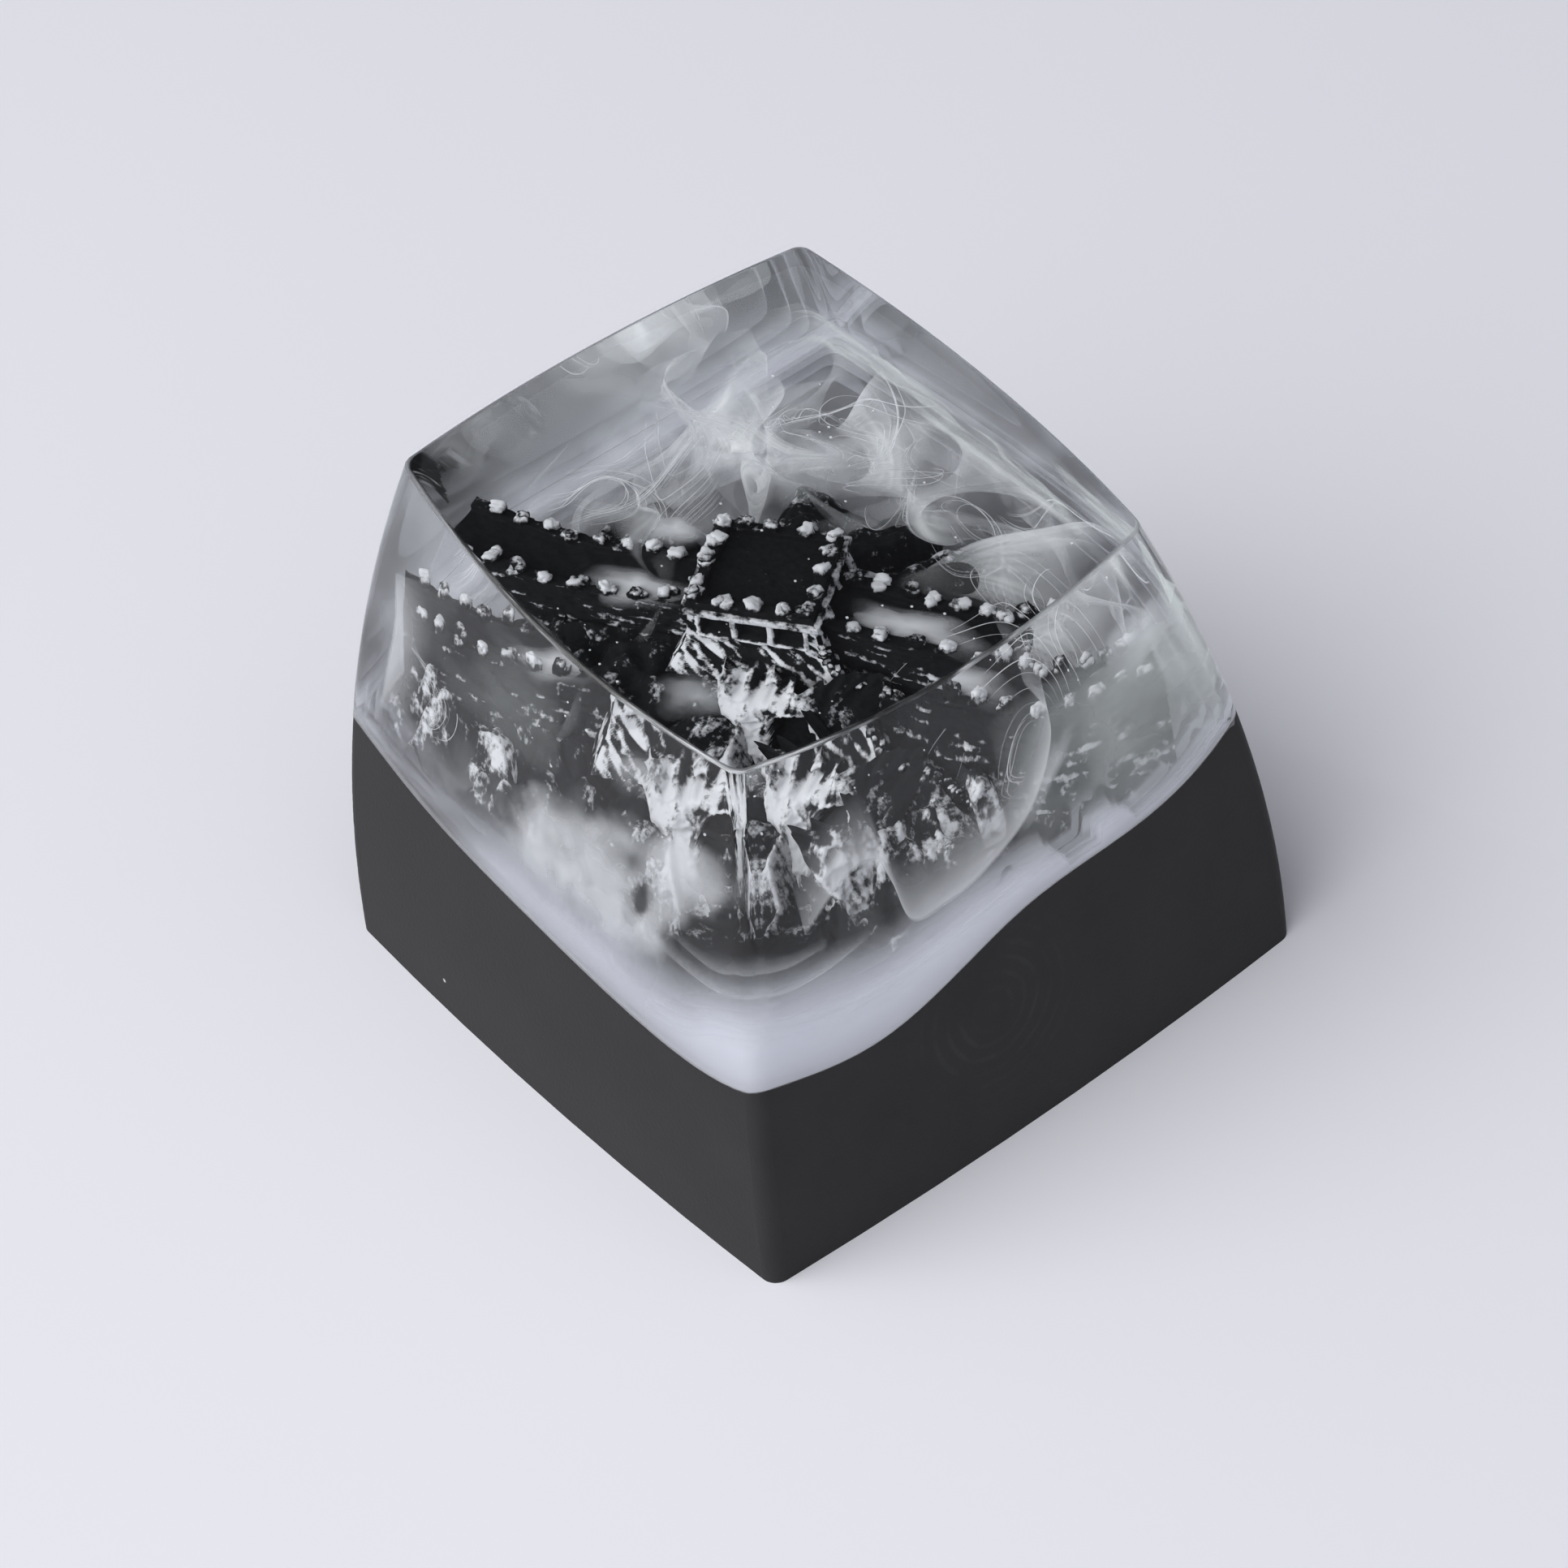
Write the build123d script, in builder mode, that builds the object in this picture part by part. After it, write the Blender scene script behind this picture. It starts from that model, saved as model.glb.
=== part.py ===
from build123d import *

import os
import random
from math import atan, cos, degrees, radians, sin, tan

# Artisan keycap: a tall cap of cast resin. A matte black skirt carries the switch socket, a milky pour
# lies on it and rises in veils of mist, and a clear pour on top holds a miniature stone wall and
# watchtower on a rocky ridge.
# Millimetres. The origin is at the middle of the rim, +Z is up and -Y is the side that faces the typist.

# Outer form: square sections with bowed sides at the rim, at the waist and at the tilted top
base_width = 18.0
base_bulge = 0.29
waist_width = 16.62
waist_bulge = 0.43
top_width = 12.93
top_depth = 13.1
top_bulge = 0.58
top_height = 15.03
top_tilt = 9.15
top_shift = 0.14
corner_radius = 0.45
dish_radius = 78.0
dish_depth = 0.54
top_edge_radius = 0.15

# Underside and switch socket
skirt_wall = 1.7
cavity_corner_radius = 1.2
cavity_depth = 4.7
cavity_draft = 2.0
stem_diameter = 5.5
stem_recess = 0.5
slot_length = 4.1
slot_width = 1.27
slot_depth = 3.9

# Poured layers: the height of the black and the thickness of the milky pour on it, at seven even stations
# along each side. The left and right sides run from front to back, the front and back from left to right.
pour_margin = 0.21
black_front = (6.15, 6.4, 6.55, 7.4, 7.4, 7.5, 8.0)
black_left = (6.15, 5.45, 5.85, 6.4, 6.85, 7.45, 7.3)
black_right = (8.0, 8.5, 8.9, 9.0, 9.0, 8.8, 8.2)
black_back = (7.3, 7.1, 6.95, 7.1, 7.3, 7.6, 8.2)
black_corner_climb = {"front_left": 5.6, "front_right": 11.0, "back_left": 2.45, "back_right": 2.5}
black_bowl = 1.3
cloud_bowl = 0.5
cloud_front = (1.3, 1.3, 1.0, 0.6, 0.6, 0.8, 1.0)
cloud_left = (1.3, 1.6, 1.3, 1.25, 1.25, 1.2, 1.3)
cloud_right = (1.0, 1.8, 2.3, 2.5, 2.7, 2.9, 2.4)
cloud_back = (1.3, 0.9, 0.9, 0.9, 0.9, 1.1, 2.4)
cloud_corner_climb = {"front_left": 8.0, "front_right": 0.8, "back_left": 1.5, "back_right": 1.5}

# Mist: veils that rise from the milky pour, as points on their middle lines seen from above, and the
# height of their crests at the same stations as the pours
veil_thickness = 0.35
veil_foot = 5.0
veils = (
    ((-3.0, 6.6), (0.5, 6.2), (3.5, 5.6), (5.8, 4.2)),
    ((2.8, 4.2), (4.3, 3.4), (5.6, 1.8), (6.1, 0.2)),
    ((6.6, 3.0), (7.0, 0.5), (6.8, -2.4), (5.8, -4.4)),
    ((-6.8, 6.2), (-7.0, 3.4), (-7.1, 0.6), (-6.9, -2.4), (-6.0, -4.6)),
    ((-5.4, -6.4), (-3.4, -6.8), (-1.6, -7.1), (0.8, -7.0), (2.4, -6.8)),
    ((3.2, -7.2), (5.0, -7.3), (6.7, -6.9)),
)
crest_front = (9.2, 9.7, 9.9, 9.0, 9.8, 10.8, 10.8)
crest_left = (9.2, 9.7, 10.0, 10.4, 11.4, 11.9, 11.6)
crest_right = (10.8, 10.4, 10.7, 11.1, 10.8, 11.2, 11.0)
crest_back = (11.6, 11.2, 10.8, 11.0, 11.4, 11.2, 11.0)
level_corners = {"front_left": 0.0, "front_right": 0.0, "back_left": 0.0, "back_right": 0.0}

# Miniature: the clear resin left around it, and its rocks as (x, y, width, crest height)
clear_cover = 0.5
rock_foot = 6.0
rock_sides = (5, 6, 7)
rock_tip_share = 0.35
rocks = (
    (-5.2, 6.4, 3.2, 10.4), (-4.3, 5.0, 3.6, 10.5), (-3.3, 3.4, 3.8, 10.3), (-2.2, 1.9, 4.2, 10.2),
    (-0.7, -0.1, 6.4, 10.4), (0.9, -2.6, 4.2, 10.3), (2.2, -4.4, 3.8, 10.0), (3.9, -5.4, 3.4, 9.5),
    (5.6, -5.9, 3.0, 9.2), (-2.9, -2.4, 3.8, 10.0), (-3.6, -4.2, 3.4, 9.2), (-5.0, -5.0, 2.8, 8.4),
    (-1.9, -5.0, 3.2, 9.0), (-0.5, -5.5, 3.0, 8.8), (-5.8, 3.2, 2.8, 9.7), (-5.3, 1.1, 3.2, 9.4),
    (-4.6, -1.4, 3.0, 9.3), (1.8, 2.0, 4.0, 9.7), (-1.4, 4.6, 3.4, 9.5), (3.4, -1.6, 4.0, 9.5),
    (3.3, 0.7, 3.6, 9.2),
)
arch_x = -3.2
arch_y = -3.1
arch_foot = 8.0
arch_turn = 234.0
arch_width = 0.9
arch_height = 0.8
arch_depth = 1.0

# Miniature: the wall's walkway as points on its middle line, and the teeth along both edges
wall_left = ((-5.3, 7.1, 11.1), (-3.9, 4.3, 10.75), (-1.6, 1.2, 10.75))
wall_right = ((0.2, -1.5, 11.0), (1.5, -4.0, 10.8), (3.1, -5.6, 10.2), (6.2, -6.3, 9.75))
wall_width = 2.0
wall_depth = 2.2
tooth_pitch = 0.75
tooth_length = 0.4
tooth_thickness = 0.32
tooth_height = 0.42

# Miniature: the watchtower
tower_x = -0.73
tower_y = -0.13
tower_turn = 36.0
tower_foot = 9.0
tower_foot_width = 3.9
tower_body_height = 2.75
tower_batter = 6.5
cornice_overhang = 0.16
cornice_height = 0.22
parapet_setback = 0.16
parapet_thickness = 0.32
parapet_height = 0.3
tower_teeth = 4
window_count = 3
window_width = 0.42
window_height = 0.5
window_depth = 0.3
window_sill = 1.75
window_pitch = 0.9

top_plane = Plane(
    origin=(0, top_shift, top_height),
    x_dir=(1, 0, 0),
    z_dir=(0, -sin(radians(top_tilt)), cos(radians(top_tilt))),
)
waist_plane = Plane(
    origin=(0, top_shift / 2, top_height / 2),
    x_dir=(1, 0, 0),
    z_dir=(0, -sin(radians(top_tilt / 2)), cos(radians(top_tilt / 2))),
)
pour_reach = max(base_width / 2 + base_bulge, waist_width / 2 + waist_bulge) + pour_margin
sections = (
    (Plane.XY, base_width, base_width, base_bulge),
    (waist_plane, waist_width, waist_width, waist_bulge),
    (top_plane, top_width, top_depth, top_bulge),
)
tower_plane = Plane(
    origin=(tower_x, tower_y, tower_foot),
    x_dir=(cos(radians(tower_turn)), sin(radians(tower_turn)), 0),
    z_dir=(0, 0, 1),
)
arch_plane = Plane(
    origin=(arch_x, arch_y, arch_foot),
    x_dir=(-sin(radians(arch_turn)), cos(radians(arch_turn)), 0),
    z_dir=(cos(radians(arch_turn)), sin(radians(arch_turn)), 0),
)


def side_arcs(width, depth, bulge):
    """The four sides of a section, corner to corner, each bowed out by the bulge at its middle."""
    w = width / 2
    d = depth / 2
    return (
        ((-w, -d), (0, -d - bulge), (w, -d)),
        ((w, -d), (w + bulge, 0), (w, d)),
        ((w, d), (0, d + bulge), (-w, d)),
        ((-w, d), (-w - bulge, 0), (-w, -d)),
    )


def pour_grid(front, left, right, back, climb, bowl, under=None):
    """Points on a poured surface: sides blended across, sunk in the middle and climbing at the corners."""
    last = len(front) - 1
    climbs = {
        (0, 0): climb["front_left"],
        (last, 0): climb["front_right"],
        (0, last): climb["back_left"],
        (last, last): climb["back_right"],
    }
    grid = []
    for j in range(last + 1):
        v = j / last
        row = []
        for i in range(last + 1):
            u = i / last
            sides = (1 - v) * front[i] + v * back[i] + (1 - u) * left[j] + u * right[j]
            left_corners = (1 - v) * front[0] + v * back[0]
            right_corners = (1 - v) * front[last] + v * back[last]
            sink = bowl * 4 * u * (1 - u) * 4 * v * (1 - v)
            height = sides - (1 - u) * left_corners - u * right_corners - sink + climbs.get((i, j), 0)
            if under:
                height += under[j][i][2]
            row.append((pour_reach * (2 * u - 1), pour_reach * (2 * v - 1), height))
        grid.append(row)
    return grid


def veil_sides(points):
    """The two long sides of a veil seen from above, half its thickness either side of its middle line."""
    sides = ([], [])
    for k, (x, y) in enumerate(points):
        x0, y0 = points[max(k - 1, 0)]
        x1, y1 = points[min(k + 1, len(points) - 1)]
        across = Vector(y0 - y1, x1 - x0).normalized() * veil_thickness / 2
        sides[0].append((x + across.X, y + across.Y))
        sides[1].append((x - across.X, y - across.Y))
    return sides


os.makedirs("parts", exist_ok=True)
random.seed(11)

# Outer form of the whole cap
with BuildPart() as outer_form:
    for plane, width, depth, bulge in sections:
        with BuildSketch(plane) as section:
            with BuildLine():
                for start, middle, end in side_arcs(width, depth, bulge):
                    ThreePointArc(start, middle, end)
            make_face()
            fillet(section.vertices(), corner_radius)
    loft()
    with Locations(top_plane.origin + top_plane.z_dir * (dish_radius - dish_depth)):
        Sphere(dish_radius, mode=Mode.SUBTRACT)
    fillet(outer_form.faces().sort_by(Axis.Z)[-1].edges(), top_edge_radius)

# Room inside the clear resin that the miniature keeps to
with BuildPart() as miniature_room:
    for plane, width, depth, bulge in sections:
        with BuildSketch(plane.offset(-clear_cover - dish_depth)):
            Rectangle(width - 2 * clear_cover, depth - 2 * clear_cover)
    loft()

# What lies below the two poured surfaces and below the crests of the mist
black_grid = pour_grid(black_front, black_left, black_right, black_back, black_corner_climb, black_bowl)
cloud_grid = pour_grid(
    cloud_front, cloud_left, cloud_right, cloud_back, cloud_corner_climb, cloud_bowl, under=black_grid
)
crest_grid = pour_grid(crest_front, crest_left, crest_right, crest_back, level_corners, bowl=0.0)
with BuildPart() as black_pour:
    extrude(Face.make_surface_from_array_of_points(black_grid), amount=top_height, dir=(0, 0, -1))
with BuildPart() as cloud_pour:
    extrude(Face.make_surface_from_array_of_points(cloud_grid), amount=top_height, dir=(0, 0, -1))
with BuildPart() as below_crests:
    extrude(Face.make_surface_from_array_of_points(crest_grid), amount=top_height, dir=(0, 0, -1))

# Black skirt with its hollow underside and the cross socket
with BuildPart() as base_shell:
    add(outer_form.part)
    add(black_pour.part, mode=Mode.INTERSECT)
    cavity_width = base_width - 2 * skirt_wall
    with BuildSketch(Plane.XY):
        RectangleRounded(cavity_width, cavity_width, cavity_corner_radius)
    extrude(amount=cavity_depth, taper=cavity_draft, mode=Mode.SUBTRACT)
    with BuildSketch(Plane.XY.offset(stem_recess)):
        Circle(stem_diameter / 2)
    extrude(amount=cavity_depth - stem_recess)
    with BuildSketch(Plane.XY.offset(stem_recess)):
        Rectangle(slot_length, slot_width)
        Rectangle(slot_width, slot_length)
    extrude(amount=slot_depth, mode=Mode.SUBTRACT)
base_shell.part.label = "base_shell"
export_step(base_shell.part, "parts/base_shell.step")

# Wall of the miniature, in straight runs with two rows of teeth
with BuildPart() as wall:
    for walkway in (wall_left, wall_right):
        for start, end in zip(walkway, walkway[1:]):
            run = Vector(*end) - Vector(*start)
            across = Vector(-run.Y, run.X, 0)
            deck = Plane(origin=(Vector(*start) + Vector(*end)) / 2, x_dir=run, z_dir=run.cross(across))
            with BuildSketch(deck):
                Rectangle(run.length + wall_width / 2, wall_width)
            extrude(amount=-wall_depth)
            teeth = int(run.length / tooth_pitch)
            with BuildSketch(deck):
                with GridLocations(tooth_pitch, wall_width - tooth_thickness, teeth, 2):
                    Rectangle(tooth_length, tooth_thickness)
            extrude(amount=tooth_height)

# Watchtower of the miniature: battered body, cornice, toothed parapet and a row of windows on each side
with BuildPart() as tower:
    batter = tan(radians(tower_batter))
    cornice_width = tower_foot_width - 2 * tower_body_height * batter + 2 * cornice_overhang
    platform_width = cornice_width - 2 * parapet_setback
    platform = tower_plane.offset(tower_body_height + cornice_height)
    with BuildSketch(tower_plane):
        Rectangle(tower_foot_width, tower_foot_width)
    extrude(amount=tower_body_height, taper=tower_batter)
    with BuildSketch(tower_plane.offset(tower_body_height)):
        Rectangle(cornice_width, cornice_width)
    extrude(amount=cornice_height)
    with BuildSketch(platform):
        Rectangle(platform_width, platform_width)
        offset(amount=-parapet_thickness, mode=Mode.SUBTRACT)
    extrude(amount=parapet_height)
    with BuildSketch(platform.offset(parapet_height)):
        with PolarLocations((platform_width - parapet_thickness) / 2, 4):
            with GridLocations(0, (platform_width - tooth_length) / (tower_teeth - 1), 1, tower_teeth):
                Rectangle(parapet_thickness, tooth_length)
    extrude(amount=tooth_height)
    with Locations(tower_plane.offset(window_sill + window_height / 2)):
        with PolarLocations(tower_foot_width / 2 - window_sill * batter, 4):
            with GridLocations(0, window_pitch, 1, window_count):
                Box(2 * window_depth, window_width, window_height, mode=Mode.SUBTRACT)

# Miniature, cast as one: the rocks with a cave, the wall and the watchtower
with BuildPart() as ridge_miniature:
    for x, y, width, crest in rocks:
        rise = crest - rock_foot
        slope = degrees(atan(width / 2 * (1 - rock_tip_share) / rise))
        sides = random.choice(rock_sides)
        turn = 360 * random.random()
        with BuildSketch(Plane((x, y, rock_foot))):
            RegularPolygon(width / 2, sides, major_radius=False, rotation=turn)
        extrude(amount=rise, taper=slope)
    with BuildSketch(arch_plane):
        Rectangle(arch_width, arch_height, align=(Align.CENTER, Align.MIN))
        with Locations((0, arch_height)):
            Circle(arch_width / 2)
    extrude(amount=arch_depth, both=True, mode=Mode.SUBTRACT)
    add(wall.part)
    add(tower.part)
    add(cloud_pour.part, mode=Mode.SUBTRACT)
    add(miniature_room.part, mode=Mode.INTERSECT)
ridge_miniature.part.label = "ridge_miniature"
export_step(ridge_miniature.part, "parts/ridge_miniature.step")

# Veils of mist around the miniature
with BuildPart() as mist:
    for points in veils:
        with BuildSketch(Plane.XY.offset(veil_foot)):
            with BuildLine():
                sides = [Spline(*side) for side in veil_sides(points)]
                Line(sides[0] @ 0, sides[1] @ 0)
                Line(sides[0] @ 1, sides[1] @ 1)
            make_face()
        extrude(amount=top_height - veil_foot)
    add(below_crests.part, mode=Mode.INTERSECT)
    add(miniature_room.part, mode=Mode.INTERSECT)
    add(ridge_miniature.part, mode=Mode.SUBTRACT)

# Milky pour on the black skirt, with the mist that rises from it
with BuildPart() as cloud_layer:
    add(outer_form.part)
    add(cloud_pour.part, mode=Mode.INTERSECT)
    add(mist.part)
    add(black_pour.part, mode=Mode.SUBTRACT)
cloud_layer.part.label = "cloud_layer"
export_step(cloud_layer.part, "parts/cloud_layer.step")

# Clear pour around the mist and the miniature
with BuildPart() as clear_top:
    add(outer_form.part)
    add(cloud_pour.part, mode=Mode.SUBTRACT)
    add(mist.part, mode=Mode.SUBTRACT)
    add(ridge_miniature.part, mode=Mode.SUBTRACT)
clear_top.part.label = "clear_top"
export_step(clear_top.part, "parts/clear_top.step")
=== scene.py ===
from math import cos, pi, radians, sin, sqrt, tan

import bmesh
import bpy
import numpy as np
from mathutils import Matrix, Vector, noise
from mathutils.bvhtree import BVHTree


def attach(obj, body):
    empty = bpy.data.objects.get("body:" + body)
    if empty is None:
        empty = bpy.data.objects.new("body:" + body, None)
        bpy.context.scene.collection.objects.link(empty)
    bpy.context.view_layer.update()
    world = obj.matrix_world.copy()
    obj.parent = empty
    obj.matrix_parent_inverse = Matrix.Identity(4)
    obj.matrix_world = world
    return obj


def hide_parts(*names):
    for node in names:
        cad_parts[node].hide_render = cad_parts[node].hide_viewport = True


# Looks of a cast resin keycap: matte black skirt, milky band, clear top with a miniature wall in mist.
# Shapes are worked out in millimetres and become metres when a piece is made.

MM = 0.001
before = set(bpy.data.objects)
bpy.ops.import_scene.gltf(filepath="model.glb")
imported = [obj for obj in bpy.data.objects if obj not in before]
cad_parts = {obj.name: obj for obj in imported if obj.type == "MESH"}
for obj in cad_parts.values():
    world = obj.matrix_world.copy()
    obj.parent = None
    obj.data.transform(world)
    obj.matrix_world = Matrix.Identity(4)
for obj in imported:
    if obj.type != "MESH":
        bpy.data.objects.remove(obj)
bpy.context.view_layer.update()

# Outer form of the cap at the rim, the waist and the top
HALF_WIDTHS = (9.0, 8.31, 6.465)
SIDE_BULGES = (0.29, 0.43, 0.58)
CORNER_RADIUS = 0.45
TOP_HEIGHT = 15.03
TOP_TILT = radians(9.15)
TOP_SHIFT = 0.14
DISH_RADIUS = 78.0
DISH_DEPTH = 0.54
TOP_EDGE_RADIUS = 0.15

# Faces of mist with less ink than this are left out
FAINTEST_INK = 0.02

# A thumb's smudge on the black side that faces the typist, in metres
THUMB_SMUDGE = (-0.0014, -0.0092, 0.0045)

# Watchtower and wall of the miniature
TOWER_X, TOWER_Y = -0.73, -0.13
TOWER_TURN = radians(36.0)
TOWER_FOOT = 9.0
TOWER_FOOT_HALF = 1.95
TOWER_BODY = 2.75
TOWER_BATTER = tan(radians(6.5))
CORNICE_OUT = 0.16
CORNICE_HEIGHT = 0.22
PARAPET_THICK = 0.32
PARAPET_HEIGHT = 0.3
WINDOW_HALF_WIDTH = 0.36
WINDOW_HALF_HEIGHT = 0.4
WINDOW_PITCH = 0.96
WINDOW_UP = 2.16
WALL_LEFT = ((-5.3, 7.1, 11.1), (-3.9, 4.3, 10.75), (-1.6, 1.2, 10.75))
WALL_RIGHT = ((0.2, -1.5, 11.0), (1.5, -4.0, 10.8), (3.1, -5.6, 10.2), (6.2, -6.3, 9.75))
WALL_WIDTH = 2.0
TOOTH_PITCH = 0.75

# Fineness of the grids that the miniature is made of
ROCK_GRID = 0.07
CRAG_GRID = 0.04
WALL_GRID = 0.07
TOWER_GRID = 0.05

# The photograph's viewpoint: its place in millimetres, its backward and rightward axes, and its lens
CAMERA_PLACE = (-46.615, -64.999, 78.114)
CAMERA_BACK = (-0.42718, -0.60422, 0.67262)
CAMERA_RIGHT = (0.81654, -0.57729, 0.0)
CAMERA_ROLL = radians(6.3)
CAMERA_LENS = 94.47
CAMERA_SENSOR = 36.0

# Headings of the bright window wall and of the dark part of the ceiling
TO_WINDOW = (-0.84, 0.41, 0.35)
TO_CEILING = (0.43, 0.36, 0.83)

# Lamps: name, place and size in metres, watts and tint; they face a spot a little above the table
LAMPS = (
    ("window", (-0.27, 0.02, 0.24), 0.5, 1.73, (1.0, 0.99, 0.97)),
    ("fill", (0.02, -0.36, 0.24), 0.4, 0.11, (0.98, 0.99, 1.0)),
)
LAMP_TARGET = (0, 0, 0.006)


# Small tools for meshes


def blur(field, times):
    """A grid of heights, smoothed a number of times over its neighbours."""
    for _ in range(times):
        wide = np.pad(field, 1, mode="edge")
        field = (wide[1:-1, :-2] + wide[1:-1, 2:] + wide[:-2, 1:-1] + wide[2:, 1:-1] + 2 * field) / 6
    return field


def ramp(low, high, value):
    """0 below low, 1 above high, and a soft slope between."""
    share = np.clip((value - low) / (high - low), 0, 1)
    return share * share * (3 - 2 * share)


def rough(points, size, octaves):
    """Cloudy noise at points, about -1 to 1, with lumps of this size in millimetres."""
    values = [noise.fractal(Vector(p) / size, 1.0, 2.0, octaves) for p in points.reshape(-1, 3)]
    return np.array(values).reshape(points.shape[:-1])


def crags(points, size, octaves):
    """Sharp-edged noise at points, about 0 to 1, like broken rock."""
    spots = points.reshape(-1, 3)
    values = [noise.ridged_multi_fractal(Vector(p) / size, 1.0, 2.1, octaves, 1.0, 2.0) for p in spots]
    return np.clip(np.array(values).reshape(points.shape[:-1]) / 2.5, 0, 1)


def stacked(*parts):
    """Coordinates brought together into points."""
    return np.stack(parts, axis=-1)


def unit(vectors):
    """Vectors brought to length 1."""
    return vectors / np.maximum(np.linalg.norm(vectors, axis=1), 1e-9)[:, None]


def swelling(count, power, cut=0.0):
    """Values that rise from near 0 to 1 and fall again."""
    return np.sin(pi * np.linspace(cut, 1 - cut, count)) ** power


def quads(rows, columns, closed=False):
    """Quads between rows of points; closed joins each row's end to its start."""
    r = np.arange(rows - 1)[:, None] * columns
    c = np.arange(columns if closed else columns - 1)[None, :]
    n = (c + 1) % columns
    return stacked(r + c, r + n, r + columns + n, r + columns + c).reshape(-1, 4)


def turned(points, angle):
    """Points turned about the upright axis."""
    x, y, z = points[..., 0], points[..., 1], points[..., 2]
    return stacked(x * cos(angle) - y * sin(angle), x * sin(angle) + y * cos(angle), z)


def placed(name, data):
    """A new object with this data, in the scene."""
    made = bpy.data.objects.new(name, data)
    bpy.context.scene.collection.objects.link(made)
    return made


class Heap:
    """Points, faces and painted marks of a mesh that is put together from parts."""

    def __init__(self):
        self.points, self.faces, self.marks, self.count = [], [], [], 0

    def add(self, points, faces, mark):
        points = np.asarray(points, float).reshape(-1, 3)
        self.points.append(points)
        self.faces += (np.asarray(faces) + self.count).tolist()
        self.marks.append(np.broadcast_to(np.asarray(mark, float).reshape(-1), (len(points),)))
        self.count += len(points)

    def add_rows(self, rows, marks, closed=False):
        """Rows of points, joined by quads, with a row of marks for each."""
        self.add(np.concatenate(rows), quads(len(rows), len(rows[0]), closed), np.concatenate(marks))

    def piece(self, name, finish, slot, node, mark="paint", outward=False):
        """The finished piece, carried by the cap, in place of a CAD node."""
        points, marks, faces = np.concatenate(self.points), np.concatenate(self.marks), self.faces
        if mark == "ink":
            faces = np.array(faces)
            faces = faces[marks[faces].max(axis=1) > FAINTEST_INK]
            used, faces = np.unique(faces, return_inverse=True)
            points, marks, faces = points[used], marks[used], faces.reshape(-1, 4).tolist()
        mesh = bpy.data.meshes.new(name)
        mesh.from_pydata((points * MM).tolist(), [], faces)
        mesh.attributes.new(mark, "FLOAT", "POINT").data.foreach_set("value", marks.astype(np.float32))
        if outward:
            shell = bmesh.new()
            shell.from_mesh(mesh)
            bmesh.ops.recalc_face_normals(shell, faces=shell.faces)
            shell.to_mesh(mesh)
            shell.free()
        mesh.shade_smooth()
        mesh.materials.append(finish)
        piece = placed(name, mesh)
        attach(piece, "root")
        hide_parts(node)
        return piece

    def ink_piece(self, name, colour, painted_glow=0.0, finish=None):
        """The finished piece of milk or mist, in place of the milky pour, with a painted glow of the given
        strength.
        """
        return self.piece(name, mist(finish or name, colour, painted_glow), "milky_resin", "cloud_layer", "ink")


# Materials


class Value:
    """A shader socket that takes part in arithmetic."""

    def __init__(self, finish, socket):
        self.finish, self.socket = finish, socket

    def math(self, operation, other):
        return self.finish.node("ShaderNodeMath", {"operation": operation}, {0: self, 1: other})

    def __add__(self, other):
        return self.math("ADD", other)

    __radd__ = __add__

    def __sub__(self, other):
        return self.math("SUBTRACT", other)

    def __mul__(self, other):
        return self.math("MULTIPLY", other)

    __rmul__ = __mul__


class Finish:
    """A material, or the room's light, that is written node by node."""

    def __init__(self, block):
        self.block = block
        self.block.use_nodes = True
        self.tree = block.node_tree
        self.tree.nodes.clear()

    def node(self, kind, settings, sockets, out=0):
        """A node with its settings and its sockets' values or links; gives one output."""
        made = self.tree.nodes.new(kind)
        for name, value in settings.items():
            setattr(made, name, value)
        for name, value in sockets.items():
            if isinstance(value, Value):
                self.tree.links.new(value.socket, made.inputs[name])
            else:
                made.inputs[name].default_value = value
        return Value(self, made.outputs[out]) if made.outputs else None

    def place(self):
        """The point on the surface, in the piece's own frame, in metres."""
        return self.node("ShaderNodeTexCoord", {}, {}, "Object")

    def grain(self, scale, detail=4.0, roughness=0.55, place=None, stretch=(1, 1, 1)):
        """Noise from 0 to 1; scale is in waves per metre."""
        place = place or self.place()
        if stretch != (1, 1, 1):
            place = self.node("ShaderNodeVectorMath", {"operation": "MULTIPLY"}, {0: place, 1: stretch})
        sockets = {"Vector": place, "Scale": scale, "Detail": detail, "Roughness": roughness}
        return self.node("ShaderNodeTexNoise", {}, sockets)

    def mark(self, name):
        return self.node("ShaderNodeAttribute", {"attribute_name": name}, {}, "Fac")

    def between(self, low, high, value):
        """0 at low, 1 at high, soft between."""
        sockets = {"Value": value, "From Min": low, "From Max": high}
        return self.node("ShaderNodeMapRange", {"interpolation_type": "SMOOTHSTEP"}, sockets)

    def towards(self, heading, way):
        """How much a heading points one way, from -1 to 1."""
        return self.node("ShaderNodeVectorMath", {"operation": "DOT_PRODUCT"}, {0: heading, 1: way}, "Value")

    def mix(self, share, first, second):
        """From the first colour to the second by share."""
        return self.node("ShaderNodeMix", {"data_type": "RGBA"}, {0: share, 6: first, 7: second}, 2)

    def blend(self, share, first, second):
        """From the first shader to the second by share."""
        return self.node("ShaderNodeMixShader", {}, {0: share, 1: first, 2: second})

    def bump(self, height, strength, distance):
        return self.node("ShaderNodeBump", {}, {"Height": height, "Strength": strength, "Distance": distance})

    def close(self, shader, kind="ShaderNodeOutputMaterial"):
        self.node(kind, {}, {"Surface": shader})
        return self.block

    def surface(self, sockets):
        """A Principled surface that closes the material."""
        return self.close(self.node("ShaderNodeBsdfPrincipled", {}, sockets))


def material(name):
    return Finish(bpy.data.materials.new(name))


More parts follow.
